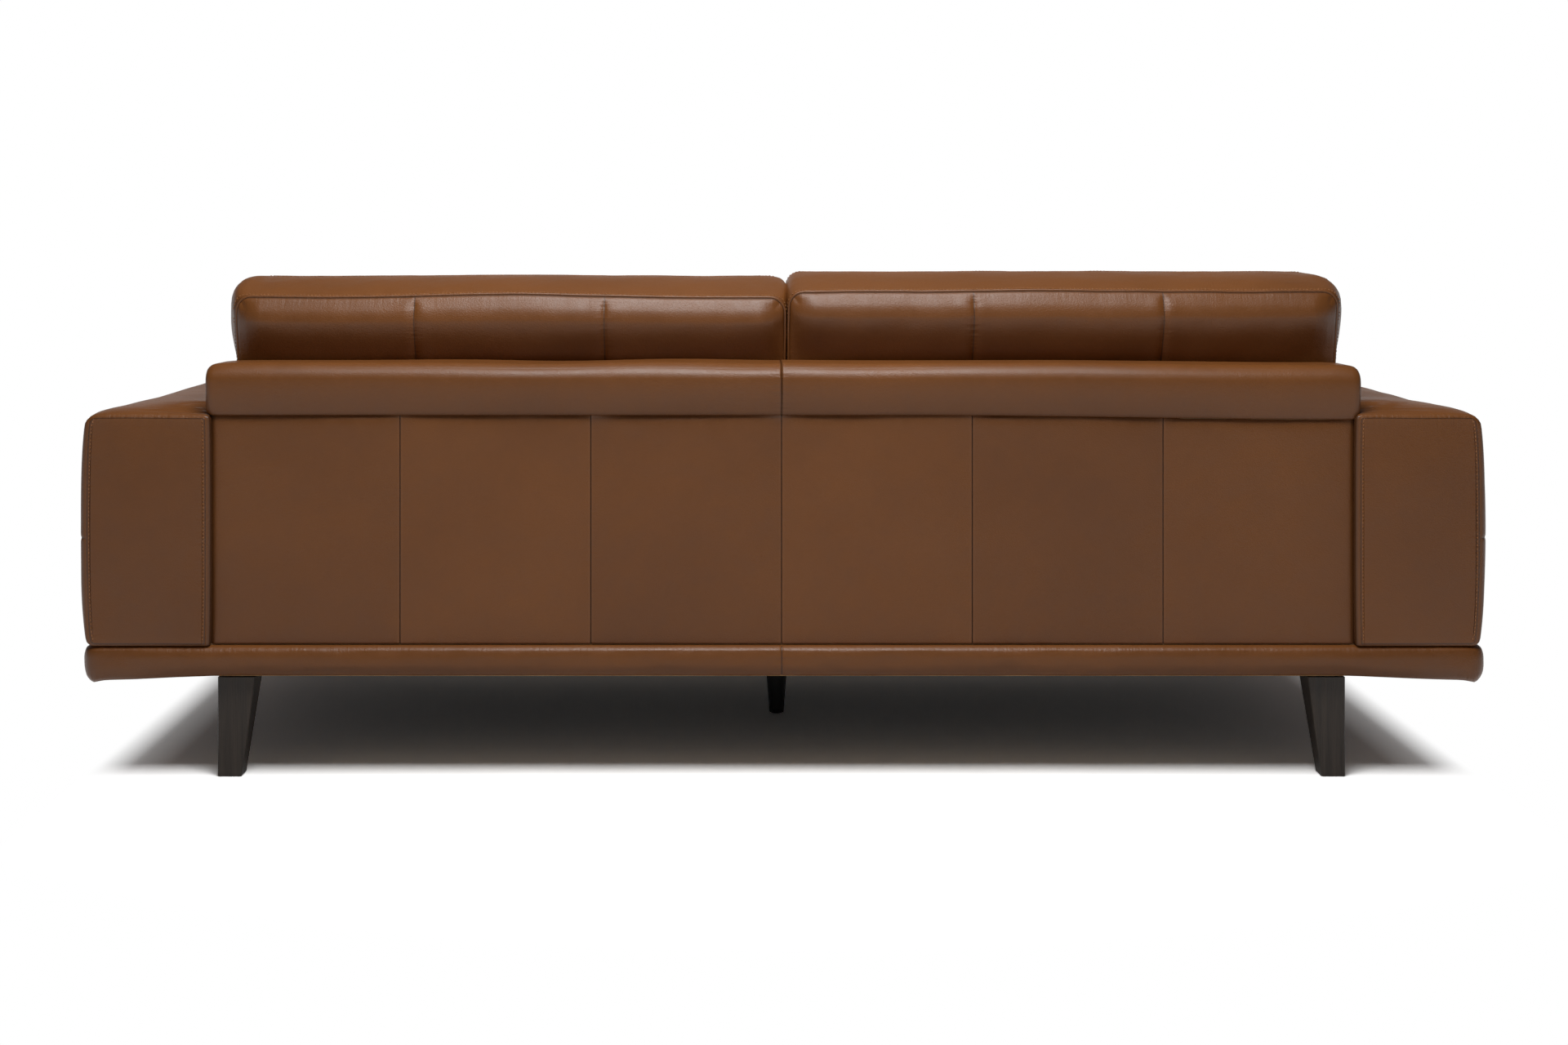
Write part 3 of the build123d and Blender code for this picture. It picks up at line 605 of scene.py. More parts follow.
dust = Skin(
    lines(dust_low[0], dust_high[0], 0.02, 4 * MM),
    lines(dust_low[1], dust_high[1], 0.02, 4 * MM),
    [dust_low[2], dust_high[2]],
)
x, y, z = dust.flat.T
hem = from_edge((x, dust_low[0], dust_high[0]), (y, dust_low[1], dust_high[1]))
dust.place[:, 2] -= ease(hem, 0, 0.12) * 3 * MM * (1 + 0.3 * waves(dust.flat, 0.25, 5))
dust.place[:, 2] -= near(hem - 0.015, 0.02) * 0.4 * MM * waves(dust.flat, 0.03, 6)
dust_piece = dust.piece("dust_cloth", "black_cloth", "sofa_frame", ("dust_cover",), material=UNDER_CLOTH)


# Arms ---------------------------------------------------------------------------------------

arm_low, arm_high = corners_of("left_arm_cover")
arm_foot = plinth_top
arm_inner, arm_top = arm_low[0], arm_high[2] - 5 * MM
arm_outer, arm_end = arm_high[0] - 8 * MM, arm_high[1]
arm_height = arm_top - arm_foot
side_seam = arm_foot + 0.475 * arm_height
RIGHT_ARM_SLIP = 4 * MM    # how far the right arm's leather lies further out
ARM_BULGE, ARM_CROWN = 12 * MM, 11 * MM
FOLD_HEIGHT, FOLD_PITCH = 3 * MM, 0.026   # creases across the arm's top, beside the band
FACING_STITCH_INSET = 5 * MM
FACING_PROUD = 0.8 * MM
FACING_DOME = 3.2          # mm
ENDS = (("rear", 1), ("front", -1))


def arm_form(place, flat, seed):
    """Bends places on the left arm's box into the stuffed arm."""
    x, y, z = flat.T
    t = (z - arm_foot) / arm_height
    width = np.clip((x - arm_inner) / (arm_outer - arm_inner), 0, 1)
    along = arm_end - np.abs(y)
    placed = place.copy()
    shoulder = 1 - np.abs(2 * np.clip(t, 0, 1) - 1) ** 4
    swelling = 0.25 + 0.75 * (1 - np.exp(-along / 0.012))
    bulge = ARM_BULGE * shoulder * swelling - 2 * MM * t ** 5 - 3 * MM * (1 - t) ** 4
    placed[:, 0] += width ** 4 * bulge
    # The inner edge reaches further in at the rear end, beside the back's panels.
    behind = ease(y, 0.464, 0.476)
    placed[:, 0] -= (1 - width) ** 3 * (4 + 1.5 * shoulder) * MM * behind
    # The top is crowned, and rises a little towards the rear.
    crown = (1 - np.abs(2 * width - 1) ** 3) * (1 - np.exp(-along / 0.03))
    placed[:, 2] += ease(t, 0.75, 1) * (ARM_CROWN * crown + 5 * MM * ease(y, 0.1, 0.47))
    by_band = near(x - arm_inner, 0.085) * ease(y, 0.26, 0.36) * (1 - ease(y, 0.46, 0.478))
    folds = np.sin(2 * np.pi * y / FOLD_PITCH + 2.2 * waves(flat, 0.12, seed))
    placed[:, 2] += ease(t, 0.8, 1) * by_band * FOLD_HEIGHT * folds
    placed[:, 2] += ease(t, 0.8, 1) * 1.1 * MM * waves(flat * (1, 1, 0), 0.19, seed + 1)
    placed[:, 0] += width ** 4 * 0.9 * MM * waves(flat * (0, 1, 1), 0.17, seed + 2) * (along > 0.01)
    return placed


def cover_arm(side_name, side, slip, seed):
    """The leather over an arm's top and sides."""
    arm = Skin(
        lines(arm_inner, arm_outer, 8 * MM, 22 * MM),
        lines(-arm_end, arm_end, 8 * MM, 20 * MM),
        lines(arm_foot, arm_top, 8 * MM, 22 * MM, (side_seam,)),
    )
    x, y, z = arm.flat.T
    placed = boxed(arm.flat, 1, (4 * MM, 12 * MM, 17 * MM, 8 * MM), ((3.5 * MM, 6 * MM),) * 2)
    arm.place = arm_form(placed, arm.flat, seed)
    outer_wall = ease(x, arm_outer - 4 * MM, arm_outer - 1 * MM)
    arm.groove(z - side_seam, 1.1 * MM, 3 * MM, 0.8, outer_wall)
    arm.mark("pucker_h", 0.5 * near(z - side_seam, 10 * MM) * outer_wall)
    along = arm_end - np.abs(y)
    # A painted highlight, with some rubbed wear, along the rear end's edge; painted shade along the inner
    # edge at the rear, in the gap by the back.
    arm.mark("lip", 0.3 * near(along, 5 * MM))
    arm.mark("pucker_h", 0.4 * near(along, 14 * MM) * ease(z, arm_top - 0.05, arm_top - 0.01))
    arm.mark("seam", 0.8 * near(x - arm_inner, 3 * MM) * ease(y, arm_end - 16 * MM, arm_end - 8 * MM))
    arm.place[:, 0] = (arm.place[:, 0] + slip) * side
    arm.flat = arm.flat * (side, 1, 1)
    arm.piece(f"{side_name}_arm_upholstery", "arm_leather", "sofa_frame",
              (f"{side_name}_arm_cover", f"{side_name}_arm_padding"), mirrored=side < 0)


def face_arm(side_name, side, end_name, end, slip, seed):
    """The topstitched panel over an arm's rear or front end."""
    face_low, face_high = arm_inner + 6 * MM, arm_outer - 8 * MM
    face_foot, face_top = arm_foot + 3 * MM, arm_top - 1.5 * MM
    row_x = (face_low + FACING_STITCH_INSET, face_high - FACING_STITCH_INSET)
    facing = Skin(
        lines(face_low, face_high, 7 * MM, 6 * MM, row_x),
        sorted(end * (arm_end + d) for d in (-9 * MM, -6 * MM, -3 * MM, -1 * MM, FACING_PROUD)),
        lines(face_foot, face_top, 7 * MM, 6 * MM),
    )
    x, y, z = facing.flat.T
    rims = ((1 * MM, 1 * MM), (2.2 * MM, 2.2 * MM))
    placed = boxed(facing.flat, 1, (1.5 * MM, 8 * MM, 10 * MM, 5 * MM), rims if end > 0 else rims[::-1])
    u = (x - face_low) / (face_high - face_low) * 2 - 1
    v = (z - face_foot) / (face_top - face_foot) * 2 - 1
    outward = np.abs(y) > arm_end - 2 * MM
    dome = FACING_DOME * (1 - np.abs(u) ** 2.6) * (1 - np.abs(v) ** 3)
    dome += 0.5 * waves(facing.flat, 0.12, seed + 5)
    placed[:, 1] += end * outward * dome * MM
    # The panel's outline bends with the arm that it closes.
    beside_rim = facing.flat.copy()
    beside_rim[:, 1] = end * (arm_end - 4 * MM)
    bend = arm_form(beside_rim, beside_rim, seed) - beside_rim
    placed[:, 0] += bend[:, 0]
    placed[:, 2] += bend[:, 2] * 0.6
    facing.place = placed
    from_border = from_edge((x, face_low, face_high), (z, face_foot, face_top))
    # Painted shade in the seam round the border, and a painted highlight, with some rubbed wear, along the
    # border and along the top edge.
    facing.mark("seam", near(from_border - 1.6 * MM, 0.9 * MM) * 0.9)
    by_top = 0.4 * near(face_top - z - 3.5 * MM, 1.6 * MM)
    facing.mark("lip", 0.25 * near(from_border - 4 * MM, 3 * MM) + by_top)
    facing.mark("pucker_h", 0.45 * near(face_top - z, 16 * MM))
    facing.mark("pucker_v", 0.45 * near(from_edge((x, face_low, face_high)), 12 * MM))
    for at in row_x:
        facing.swell(-0.35 * MM * near(x - at, 1.6 * MM) * outward * (v < 0.97))
    level = end * (arm_end + FACING_PROUD)
    rows = [path((at, level, face_foot + 6 * MM), (at, level, face_top - 4 * MM)) for at in row_x]
    facing.place[:, 0] = (facing.place[:, 0] + slip) * side
    facing.flat = facing.flat * (side, 1, 1)
    rows = [[point * (side, 1, 1) for point in row] for row in rows]
    if side < 0:
        facing.mesh.flip_normals()
    stitches(f"{side_name}_arm_{end_name}_stitching", facing, rows, "sofa_frame")
    facing.piece(f"{side_name}_arm_{end_name}_panel", "arm_leather", "sofa_frame",
                 (f"{side_name}_arm_{end_name}_facing",))


for side_name, side in SIDES:
    slip, seed = (0, 20) if side > 0 else (RIGHT_ARM_SLIP, 31)
    cover_arm(side_name, side, slip, seed)
    for end_name, end in ENDS:
        face_arm(side_name, side, end_name, end, slip, seed)


# Back ---------------------------------------------------------------------------------------

LEAN = math.radians(10)
HIDE_TONES = (0.0, 0.2, -0.1, 0.15, -0.15, 0.05)   # how each panel's hide differs in tone
PANEL_DOME = 1.8           # mm
BAND_FRONT = 0.362         # the band's front face, at its top
BAND_TUCK = 7.5 * MM       # how far the band's rear face draws in to its foot
INNER_SEAMS = (-0.306, 0, 0.306)
band_low, band_high = corners_of("back_band_left")
band_foot, band_top = band_low[2] + 5 * MM, band_high[2] + 3 * MM
band_face = band_high[1]
panel_top = band_low[2] + 6 * MM


def sag(x):
    """How far the band has slipped down towards the right end."""
    return 7 * MM * ease(-x, 0.2, 0.93)


def cover_panel(number):
    """One of the six leather panels below the band. The first and last end at an arm."""
    low, high = corners_of(f"back_panel_{number}")
    low[0] -= (number == 6) * RIGHT_ARM_SLIP
    face = high[1]
    panel = Skin(
        lines(low[0], high[0], 5.5 * MM, 5 * MM),
        [low[1] - 6 * MM, low[1] - 2 * MM, face - 3 * MM, face - 1.5 * MM, face],
        lines(low[2] + 2 * MM, panel_top, 6 * MM, 5 * MM),
    )
    x, y, z = panel.flat.T
    placed = boxed(panel.flat, 1, (2 * MM,) * 4, ((1 * MM, 1 * MM), (1.2 * MM, 1.8 * MM)))
    u = (x - low[0]) / (high[0] - low[0]) * 2 - 1
    v = (z - low[2]) / (high[2] - low[2]) * 2 - 1
    dome = PANEL_DOME * (1 - np.abs(u) ** 6) * (1 - np.abs(np.minimum(v, 0)) ** 6)
    dome += 0.55 * waves(panel.flat, 0.2, 40 + number)
    dome += 0.16 * waves(panel.flat, 0.05, 50 + number)
    inside = 1 - np.maximum(np.abs(u), np.abs(v)) ** 30
    placed[:, 1] += (y > face - 2 * MM) * dome * inside * MM
    placed[:, 2] -= sag(x) * ease(v, 0, 1)
    from_arm = high[0] - x if number == 1 else x - low[0] if number == 6 else high[0] - low[0]
    # Beside an arm the hide turns in, and a shadow line shows.
    placed[:, 1] -= 2.5 * MM * (1 - ease(from_arm, 0, 9 * MM))
    panel.place = placed
    from_seam = from_edge((x, low[0], high[0]))
    clear_of_arm = ease(from_arm, 0.01, 0.02)
    # Painted shade in the seams, and as a shadow line beside an arm; a painted highlight, with some rubbed
    # wear, along the seam edges and along the top edge under the band.
    panel.mark("seam", near(from_seam, 0.6 * MM))
    panel.mark("seam", 0.95 * near(from_arm - 2 * MM, 4.5 * MM))
    panel.mark("lip", 0.35 * near(from_seam - 2.5 * MM, 1.5 * MM) * clear_of_arm)
    panel.mark("lip", 0.8 * near(z - band_low[2] - 2.6 * MM, 1.6 * MM) * clear_of_arm)
    panel.mark("pucker_v", 0.18 * near(from_seam, 12 * MM))
    panel.mark("pucker_h", 0.3 * near(panel_top - z, 12 * MM))
    panel.marks["hide"] += HIDE_TONES[number - 1]
    panel.piece(f"back_panel_hide_{number}", "back_leather", "sofa_frame", (f"back_panel_{number}",))


def cover_band(side_name, side):
    """One half of the padded band along the back's top."""
    end = band_high[0] if side > 0 else band_high[0] + 5 * MM
    band = Skin(
        lines(0.2 * MM, end, 7 * MM, 36 * MM),
        lines(BAND_FRONT, band_face, 6 * MM, 20 * MM),
        lines(band_foot, band_top, 5 * MM, 20 * MM),
    )
    x, y, z = band.flat.T
    seam_rim, end_rim = (0.6 * MM, 0.9 * MM), (9 * MM, 13 * MM)
    placed = boxed(band.flat, 0, (4 * MM, 2 * MM, 27 * MM, 20 * MM), (seam_rim, end_rim))
    depth = (y - BAND_FRONT) / (band_face - BAND_FRONT)
    tall = (z - band_foot) / (band_top - band_foot)
    # Its front leans with the back, its rear is stuffed, and its foot is drawn in.
    placed[:, 1] -= (1 - depth) * (band_top - z) * math.tan(LEAN)
    placed[:, 1] += depth ** 6 * 2 * MM * (1 - np.abs(2 * tall - 1) ** 2.5)
    placed[:, 1] -= depth ** 6 * BAND_TUCK * np.clip(1 - tall / 0.6, 0, 1) ** 1.6
    # Its top drops towards the outer end.
    by_end = np.clip(1 - (end - x) / 0.045, 0, 1)
    placed[:, 2] -= tall ** 2 * 3 * MM * by_end ** 1.6
    placed[:, 2] -= sag(x * side) * (1 - 0.65 * tall)
    placed[:, 2] += tall ** 3 * (0.9 * waves(band.flat * (1, 1, 0), 0.3, 60 + side)) * MM
    placed[:, 1] += depth ** 6 * 0.7 * MM * waves(band.flat * (1, 0, 1), 0.16, 63 + side)
    band.place = placed
    # A painted highlight, with some rubbed wear, along the edge by the middle seam and along the foot;
    # painted shade in the middle seam.
    seam_highlight = 0.3 * near(x - 3 * MM, 2 * MM)
    band.mark("seam", 0.5 * near(x, 0.5 * MM))
    band.mark("lip", seam_highlight + 0.4 * near(z - band_foot - 1.5 * MM, 1.5 * MM) * (depth > 0.9))
    band.mark("pucker_v", 0.45 * near(x, 16 * MM))
    band.mark("pucker_h", 0.35 * near(z - band_foot, 11 * MM))
    band.place[:, 0] *= side
    band.flat = band.flat * (side, 1, 1)
    replaced = (f"back_band_{side_name}",) + (("back_band_foam",) if side > 0 else ())
    band.piece(f"back_band_{side_name}_hide", "back_leather", "sofa_frame", replaced, mirrored=side < 0)


for number in range(1, 7):
    cover_panel(number)
for side_name, side in SIDES:
    cover_band(side_name, side)

inner_low, inner_high = corners_of("back_inner_cover")
inner = Skin(
    lines(inner_low[0], inner_high[0], 11 * MM, 5 * MM, INNER_SEAMS),
    [0, 6 * MM, 12 * MM, 15 * MM, 17 * MM],
    lines(inner_low[2], inner_high[2], 9 * MM, 5 * MM),
)
x, y, z = inner.flat.T
placed = boxed(inner.flat, 1, (2 * MM,) * 4, ((3 * MM, 3 * MM), (1 * MM, 1 * MM)))
placed[:, 1] += BAND_FRONT - (band_top - z) * math.tan(LEAN) + 2 * MM
placed[:, 1] += (y < 5 * MM) * 1.2 * MM * waves(inner.flat, 0.2, 70)
inner.place = placed
for seam in INNER_SEAMS:
    inner.groove(x - seam, 1.8 * MM, 4 * MM, here=y < 10 * MM)
inner.piece("back_inner_upholstery", "back_leather", "sofa_frame",
            ("back_inner_cover", "back_inner_foam"))


# Seat deck ----------------------------------------------------------------------------------

deck_low, deck_high = corners_of("deck_cloth")
outermost_spring = arm_inner - 0.08
springs = np.linspace(-outermost_spring, outermost_spring, 12)
deck = Skin(
    lines(deck_low[0], deck_high[0], 12 * MM),
    lines(deck_low[1], deck_high[1], 16 * MM),
    [deck_low[2], deck_high[2]],
)
x, y, z = deck.flat.T
dip = ease(from_edge((y, deck_low[1], deck_high[1])), 0, 0.12) * 1.2 * MM
ridge = near(np.abs(x[:, None] - springs).min(axis=1), 0.022)
deck.place[:, 2] -= (z > deck_low[2] + 1 * MM) * dip * (1 - ridge)
deck_piece = deck.piece("deck_sheet", "black_cloth", "sofa_frame", ("deck_cloth",), material=UNDER_CLOTH)

border_low, border_high = corners_of("front_border_cover")
border = Skin(
    lines(border_low[0], border_high[0], 10 * MM, 6 * MM, (0,)),
    lines(border_low[1], border_high[1], 7 * MM, 10 * MM),
    lines(border_low[2], border_high[2], 6 * MM, 10 * MM),
)
x, y, z = border.flat.T
placed = boxed(border.flat, 0, (4 * MM, 2 * MM, 3 * MM, 10 * MM), ((1 * MM, 1 * MM),) * 2)
front = ease(-y, -border_low[1] - 0.02, -border_low[1]) * ease(z, border_low[2], border_low[2] + 0.01)
placed[:, 1] -= front * (1.5 + 0.6 * waves(border.flat, 0.14, 80)) * MM * (z < border_high[2] - 4 * MM)
border.place = placed
border.groove(x, 1.8 * MM, 3 * MM)
border.piece("front_border_upholstery", "plinth_leather", "sofa_frame",
             ("front_border_cover", "front_border_foam"))


# Cushions -----------------------------------------------------------------------------------

STUFFING_PRESSURE = 4
STUFFING_FRAMES = 20


def stuffed(form, low, high, pitch, firm, cap):
    """How far each part of a cushion swells when it is filled: a coarse copy is blown up as
    cloth. Returns the copy and its moves. firm marks what stays put, cap limits a move."""
    copy = Skin(*(list(np.linspace(low[i], high[i], max(3, round((high[i] - low[i]) / pitch) + 1)))
                  for i in range(3)))
    copy.place = form(copy.flat)
    copy.normals()
    start = copy.place.copy()
    shell = bpy.data.objects.new("stuffing", copy.mesh)
    bpy.context.scene.collection.objects.link(shell)
    group = shell.vertex_groups.new(name="firm")
    for index, weight in enumerate(firm(copy.flat)):
        if weight > 0:
            group.add([index], float(weight), "REPLACE")
    modifier = shell.modifiers.new("fill", "CLOTH")
    settings = modifier.settings
    settings.quality = 6
    settings.mass = 0.35
    settings.tension_stiffness = settings.compression_stiffness = 18
    settings.shear_stiffness = 8
    settings.bending_stiffness = 0.8
    settings.use_pressure = True
    settings.uniform_pressure_force = STUFFING_PRESSURE
    settings.vertex_group_mass = "firm"
    settings.effector_weights.gravity = 0
    modifier.collision_settings.use_collision = False
    modifier.point_cache.frame_start, modifier.point_cache.frame_end = 1, STUFFING_FRAMES
    scene = bpy.context.scene
    for number in range(1, STUFFING_FRAMES + 1):
        scene.frame_set(number)
    settled = shell.evaluated_get(bpy.context.evaluated_depsgraph_get())
    found = np.empty(3 * len(start))
    settled.data.vertices.foreach_get("co", found)
    scene.frame_set(1)
    bpy.data.objects.remove(shell)
    move = found.reshape(-1, 3) - start
    length = np.linalg.norm(move, axis=1)
    limit = np.maximum(cap(copy.flat), 1e-6)
    move *= (limit * np.tanh(length / limit) / np.maximum(length, 1e-9))[:, None]
    return copy, move


def carry(skin, copy, move):
    """Moves a fine skin as its coarse copy moved, face by face of their common box."""
    carried = np.zeros_like(skin.flat)
    for axis in range(3):
        first, second = (i for i in range(3) if i != axis)
        for end in (copy.flat[:, axis].min(), copy.flat[:, axis].max()):
            known = np.flatnonzero(np.abs(copy.flat[:, axis] - end) < 1e-6)
            asked = np.flatnonzero(np.abs(skin.flat[:, axis] - end) < 1e-6)
            ticks = [np.unique(copy.flat[known, i].round(6)) for i in (first, second)]
            order = np.lexsort((copy.flat[known, second].round(6), copy.flat[known, first].round(6)))
            grid = move[known[order]].reshape(len(ticks[0]), len(ticks[1]), 3)
            cell, part = [], []
            for i, marks in zip((first, second), ticks):
                at = np.clip(np.searchsorted(marks, skin.flat[asked, i]) - 1, 0, len(marks) - 2)
                cell.append(at)
                part.append(((skin.flat[asked, i] - marks[at]) / (marks[at + 1] - marks[at]))[:, None])
            (p, q), (s, t) = cell, part
            low_side = grid[p, q] * (1 - s) + grid[p + 1, q] * s
            high_side = grid[p, q + 1] * (1 - s) + grid[p + 1, q + 1] * s
            carried[asked] = low_side * (1 - t) + high_side * t
    skin.place += carried


back_low, back_high = corners_of("left_back_cushion_cover")
tall_back = (back_high[2] - back_low[2]) / math.cos(LEAN) - 0.2 * math.tan(LEAN)
BACK_SIZE = np.array((0.908, 0.196, tall_back))
# How the two back cushions differ: where each one's low end in x lies, how much taller it stands,
# the places of its seams, how full its outer corner is (mm), its hump and its drop forwards (mm).
BACK_CUSHIONS = {
    "left": {
        "low_x": -0.009, "raise": 8 * MM, "seams": (0.2985, 0.6105), "corner": 44, "hump": 1.0, "drop": 4},
    "right": {
        "low_x": -0.92, "raise": 18 * MM, "seams": (0.291, 0.6025), "corner": 16, "hump": 0.3, "drop": 6},
}


def back_form(flat):
    """A back cushion, standing upright: rear face at y 0, front face at y -0.196."""
    placed = boxed(flat, 1, (24 * MM, 24 * MM, 27 * MM, 27 * MM), ((7 * MM, 7 * MM),) * 2)
    y, z = flat[:, 1], flat[:, 2]
    placed[:, 2] += y * math.tan(LEAN) * (1 - z / tall_back)
    return placed


def back_firm(flat):
    """The two seams all round a back cushion, and its foot, hold still."""
    x, y, z = flat.T
    side = from_edge((x, 0, BACK_SIZE[0]), (z, 0, tall_back)) < ON_FACE
    face = (y > -ON_FACE) | (y < -BACK_SIZE[1] + ON_FACE)
    return np.where(side & face | (z < ON_FACE), 1.0, 0.0)


def back_cap(flat):
    """A back cushion swells at its front and above the band, and stays flat against the back."""
    x, y, z = flat.T
    over_band = ease(z, 0.355, 0.42)
    rear = np.where(y > -ON_FACE, 2 * MM + 22 * MM * over_band, 0)
    front = np.where(y < -BACK_SIZE[1] + ON_FACE, 24 * MM, 0)
    top = np.where(z > tall_back - ON_FACE, 7 * MM, 0)
    side = np.where(from_edge((x, 0, BACK_SIZE[0])) < ON_FACE, 3.5 * MM, 0)
    return np.maximum.reduce([rear, front, top, side])


back_copy, back_move = stuffed(
    back_form, np.array((0, -BACK_SIZE[1], 0)), np.array((BACK_SIZE[0], 0, tall_back)),
    11 * MM, back_firm, back_cap)


def back_fullness(skin, side, shape):
    """A back cushion's filling pushes it out over the band at the rear, and along its boxing.
    Over the arm its outer side bulges, and its top has a low hump."""
    x, y, z = skin.flat.T
    outer = BACK_SIZE[0] - x if side > 0 else x
    below = tall_back - z
    rise = (1 - (1 - np.clip(below / 0.04, 0, 1)) ** 2) * (1 - 0.9 * ease(below, 0.034, 0.12))
    from_side = from_edge((x, 0, BACK_SIZE[0]))
    rise *= 1 - (1 - np.clip(from_side / 0.045, 0, 1)) ** 2
    skin.place[:, 1] += (y > -ON_FACE) * 23 * MM * rise
    normal = skin.normals()
    across = np.clip(-y / BACK_SIZE[1], 0, 1)
    arch = (4 * across * (1 - across)) ** 0.8 * (np.minimum(from_side, below) < ON_FACE)
    over_arm = 21 * MM * ease(z, 0.33, 0.43) * (outer < 0.1)
    level, upright = normal[:, 0] ** 2, normal[:, 2] ** 2
    corner = shape["corner"] * MM * level * upright
    skin.swell(arch * (np.maximum(over_arm, 2 * MM) * level + 4 * MM * upright + corner))
    hump = 6 * MM * near(x / BACK_SIZE[0] - 0.5, 0.2) + 2 * MM * near(outer, 0.1)
    hump *= shape["hump"]
    skin.place[:, 2] += (z / tall_back) ** 4 * hump * (1 - 0.65 * across)
    skin.place[:, 2] -= (z / tall_back) ** 4 * shape["drop"] * MM * across


def back_cushion(side_name, side, shape):
    """A back cushion with its welts and topstitching, leaning on the back."""
    cushion = Skin(
        lines(0, BACK_SIZE[0], 9 * MM, 40 * MM, (*shape["seams"], 2 * MM, BACK_SIZE[0] - 2 * MM)),
        lines(-BACK_SIZE[1], 0, 9 * MM, 8 * MM),
        lines(0, tall_back, 9 * MM, 40 * MM, (tall_back - 2 * MM,)),
    )
    cushion.place = back_form(cushion.flat)
    carry(cushion, back_copy, back_move)
    back_fullness(cushion, side, shape)
    x, y, z = cushion.flat.T
    edge = from_edge((x, 0, BACK_SIZE[0]), (z, 0, tall_back))
    on_face = (y > -3 * MM) | (y < -BACK_SIZE[1] + 3 * MM)
    inside = on_face * ease(edge, 3 * MM, 18 * MM)
    for seam in shape["seams"]:
        cushion.groove(x - seam, 2.4 * MM, 4.5 * MM, 0, inside)
        # Painted shade in each seam.
        cushion.mark("seam", near(x - seam, 0.8 * MM) * on_face)
        cushion.swell(1.0 * MM * near(np.abs(x - seam) - 14 * MM, 8 * MM) * inside)
        cushion.mark("pucker_v", 0.5 * near(x - seam, 13 * MM) * on_face)
    from_rim = np.maximum(np.minimum(np.abs(y), np.abs(y + BACK_SIZE[1])), edge)
    by_top = z > tall_back - 0.05
    # Painted shade just inside the welts.
    cushion.mark("seam", 0.9 * near(from_rim - 2.3 * MM, 1.1 * MM))
    cushion.mark("pucker_h", 0.25 * near(from_rim, 14 * MM) * by_top)
    cushion.mark("pucker_v", 0.25 * near(from_rim, 14 * MM) * ~by_top)
    cushion.swell(
        0.5 * MM * waves(cushion.flat, 0.1, 90 + side) + 0.15 * MM * waves(cushion.flat, 0.03, 94 + side))
    faces = {"rear": (0.0, -7 * MM), "front": (-BACK_SIZE[1], -BACK_SIZE[1] + 7 * MM)}
    for _, stitch_level in faces.values():
        cushion.swell(-0.15 * MM * near(y - stitch_level, 1.8 * MM) * (edge < ON_FACE))
    stretched = cushion.place * (1, 1, 1 + shape["raise"] / tall_back)
    turn = np.array(Matrix.Rotation(-LEAN, 3, "X"))
    foot = (shape["low_x"], back_high[1] - tall_back * math.sin(LEAN), back_low[2])
    cushion.place = stretched @ turn.T + foot
    body = f"{side_name}_back_cushion"
    for face_name, (face, level) in faces.items():
        placed, facing = cushion.loop(1, face)
        welt(f"{body}_{face_name}_welt", placed + facing * WELT_LIFT, "cushion_leather", body)
        row = path((0, level, 0.02), (0, level, tall_back),
                   (BACK_SIZE[0], level, tall_back), (BACK_SIZE[0], level, 0.02))
        stitches(f"{body}_{face_name}_stitching", cushion, [row], body)
    cushion.piece(f"{body}_upholstery", "cushion_leather", body, (f"{body}_cover", f"{body}_core"))


for side_name, side in SIDES:
    back_cushion(side_name, side, BACK_CUSHIONS[side_name])

seat_low, seat_high = corners_of("left_seat_cushion_cover")
SEAT_SIZE = seat_high - seat_low - (4 * MM, 12 * MM, 12 * MM)


def seat_form(flat):
    """A seat cushion with its foot at z 0."""
    return boxed(flat, 2, (30 * MM,) * 4, ((8 * MM, 8 * MM),) * 2)


def seat_firm(flat):
    """A seat cushion's foot and its upper seam hold still."""
    x, y, z = flat.T
    side = from_edge((x, 0, SEAT_SIZE[0]), (y, 0, SEAT_SIZE[1])) < ON_FACE
    return np.where((z < ON_FACE) | side & (z > SEAT_SIZE[2] - ON_FACE), 1.0, 0.0)


def seat_cap(flat):
    """A seat cushion swells most at its top, then at its front."""
    x, y, z = flat.T
    top = np.where(z > SEAT_SIZE[2] - ON_FACE, 22 * MM, 0)
    front = np.where(y < ON_FACE, 11 * MM, 0)
    rear = np.where(y > SEAT_SIZE[1] - ON_FACE, 5 * MM, 0)
    side = np.where(from_edge((x, 0, SEAT_SIZE[0])) < ON_FACE, 2 * MM, 0)
    return np.maximum.reduce([top, front, rear, side])


seat_copy, seat_move = stuffed(seat_form, np.zeros(3), SEAT_SIZE, 12 * MM, seat_firm, seat_cap)


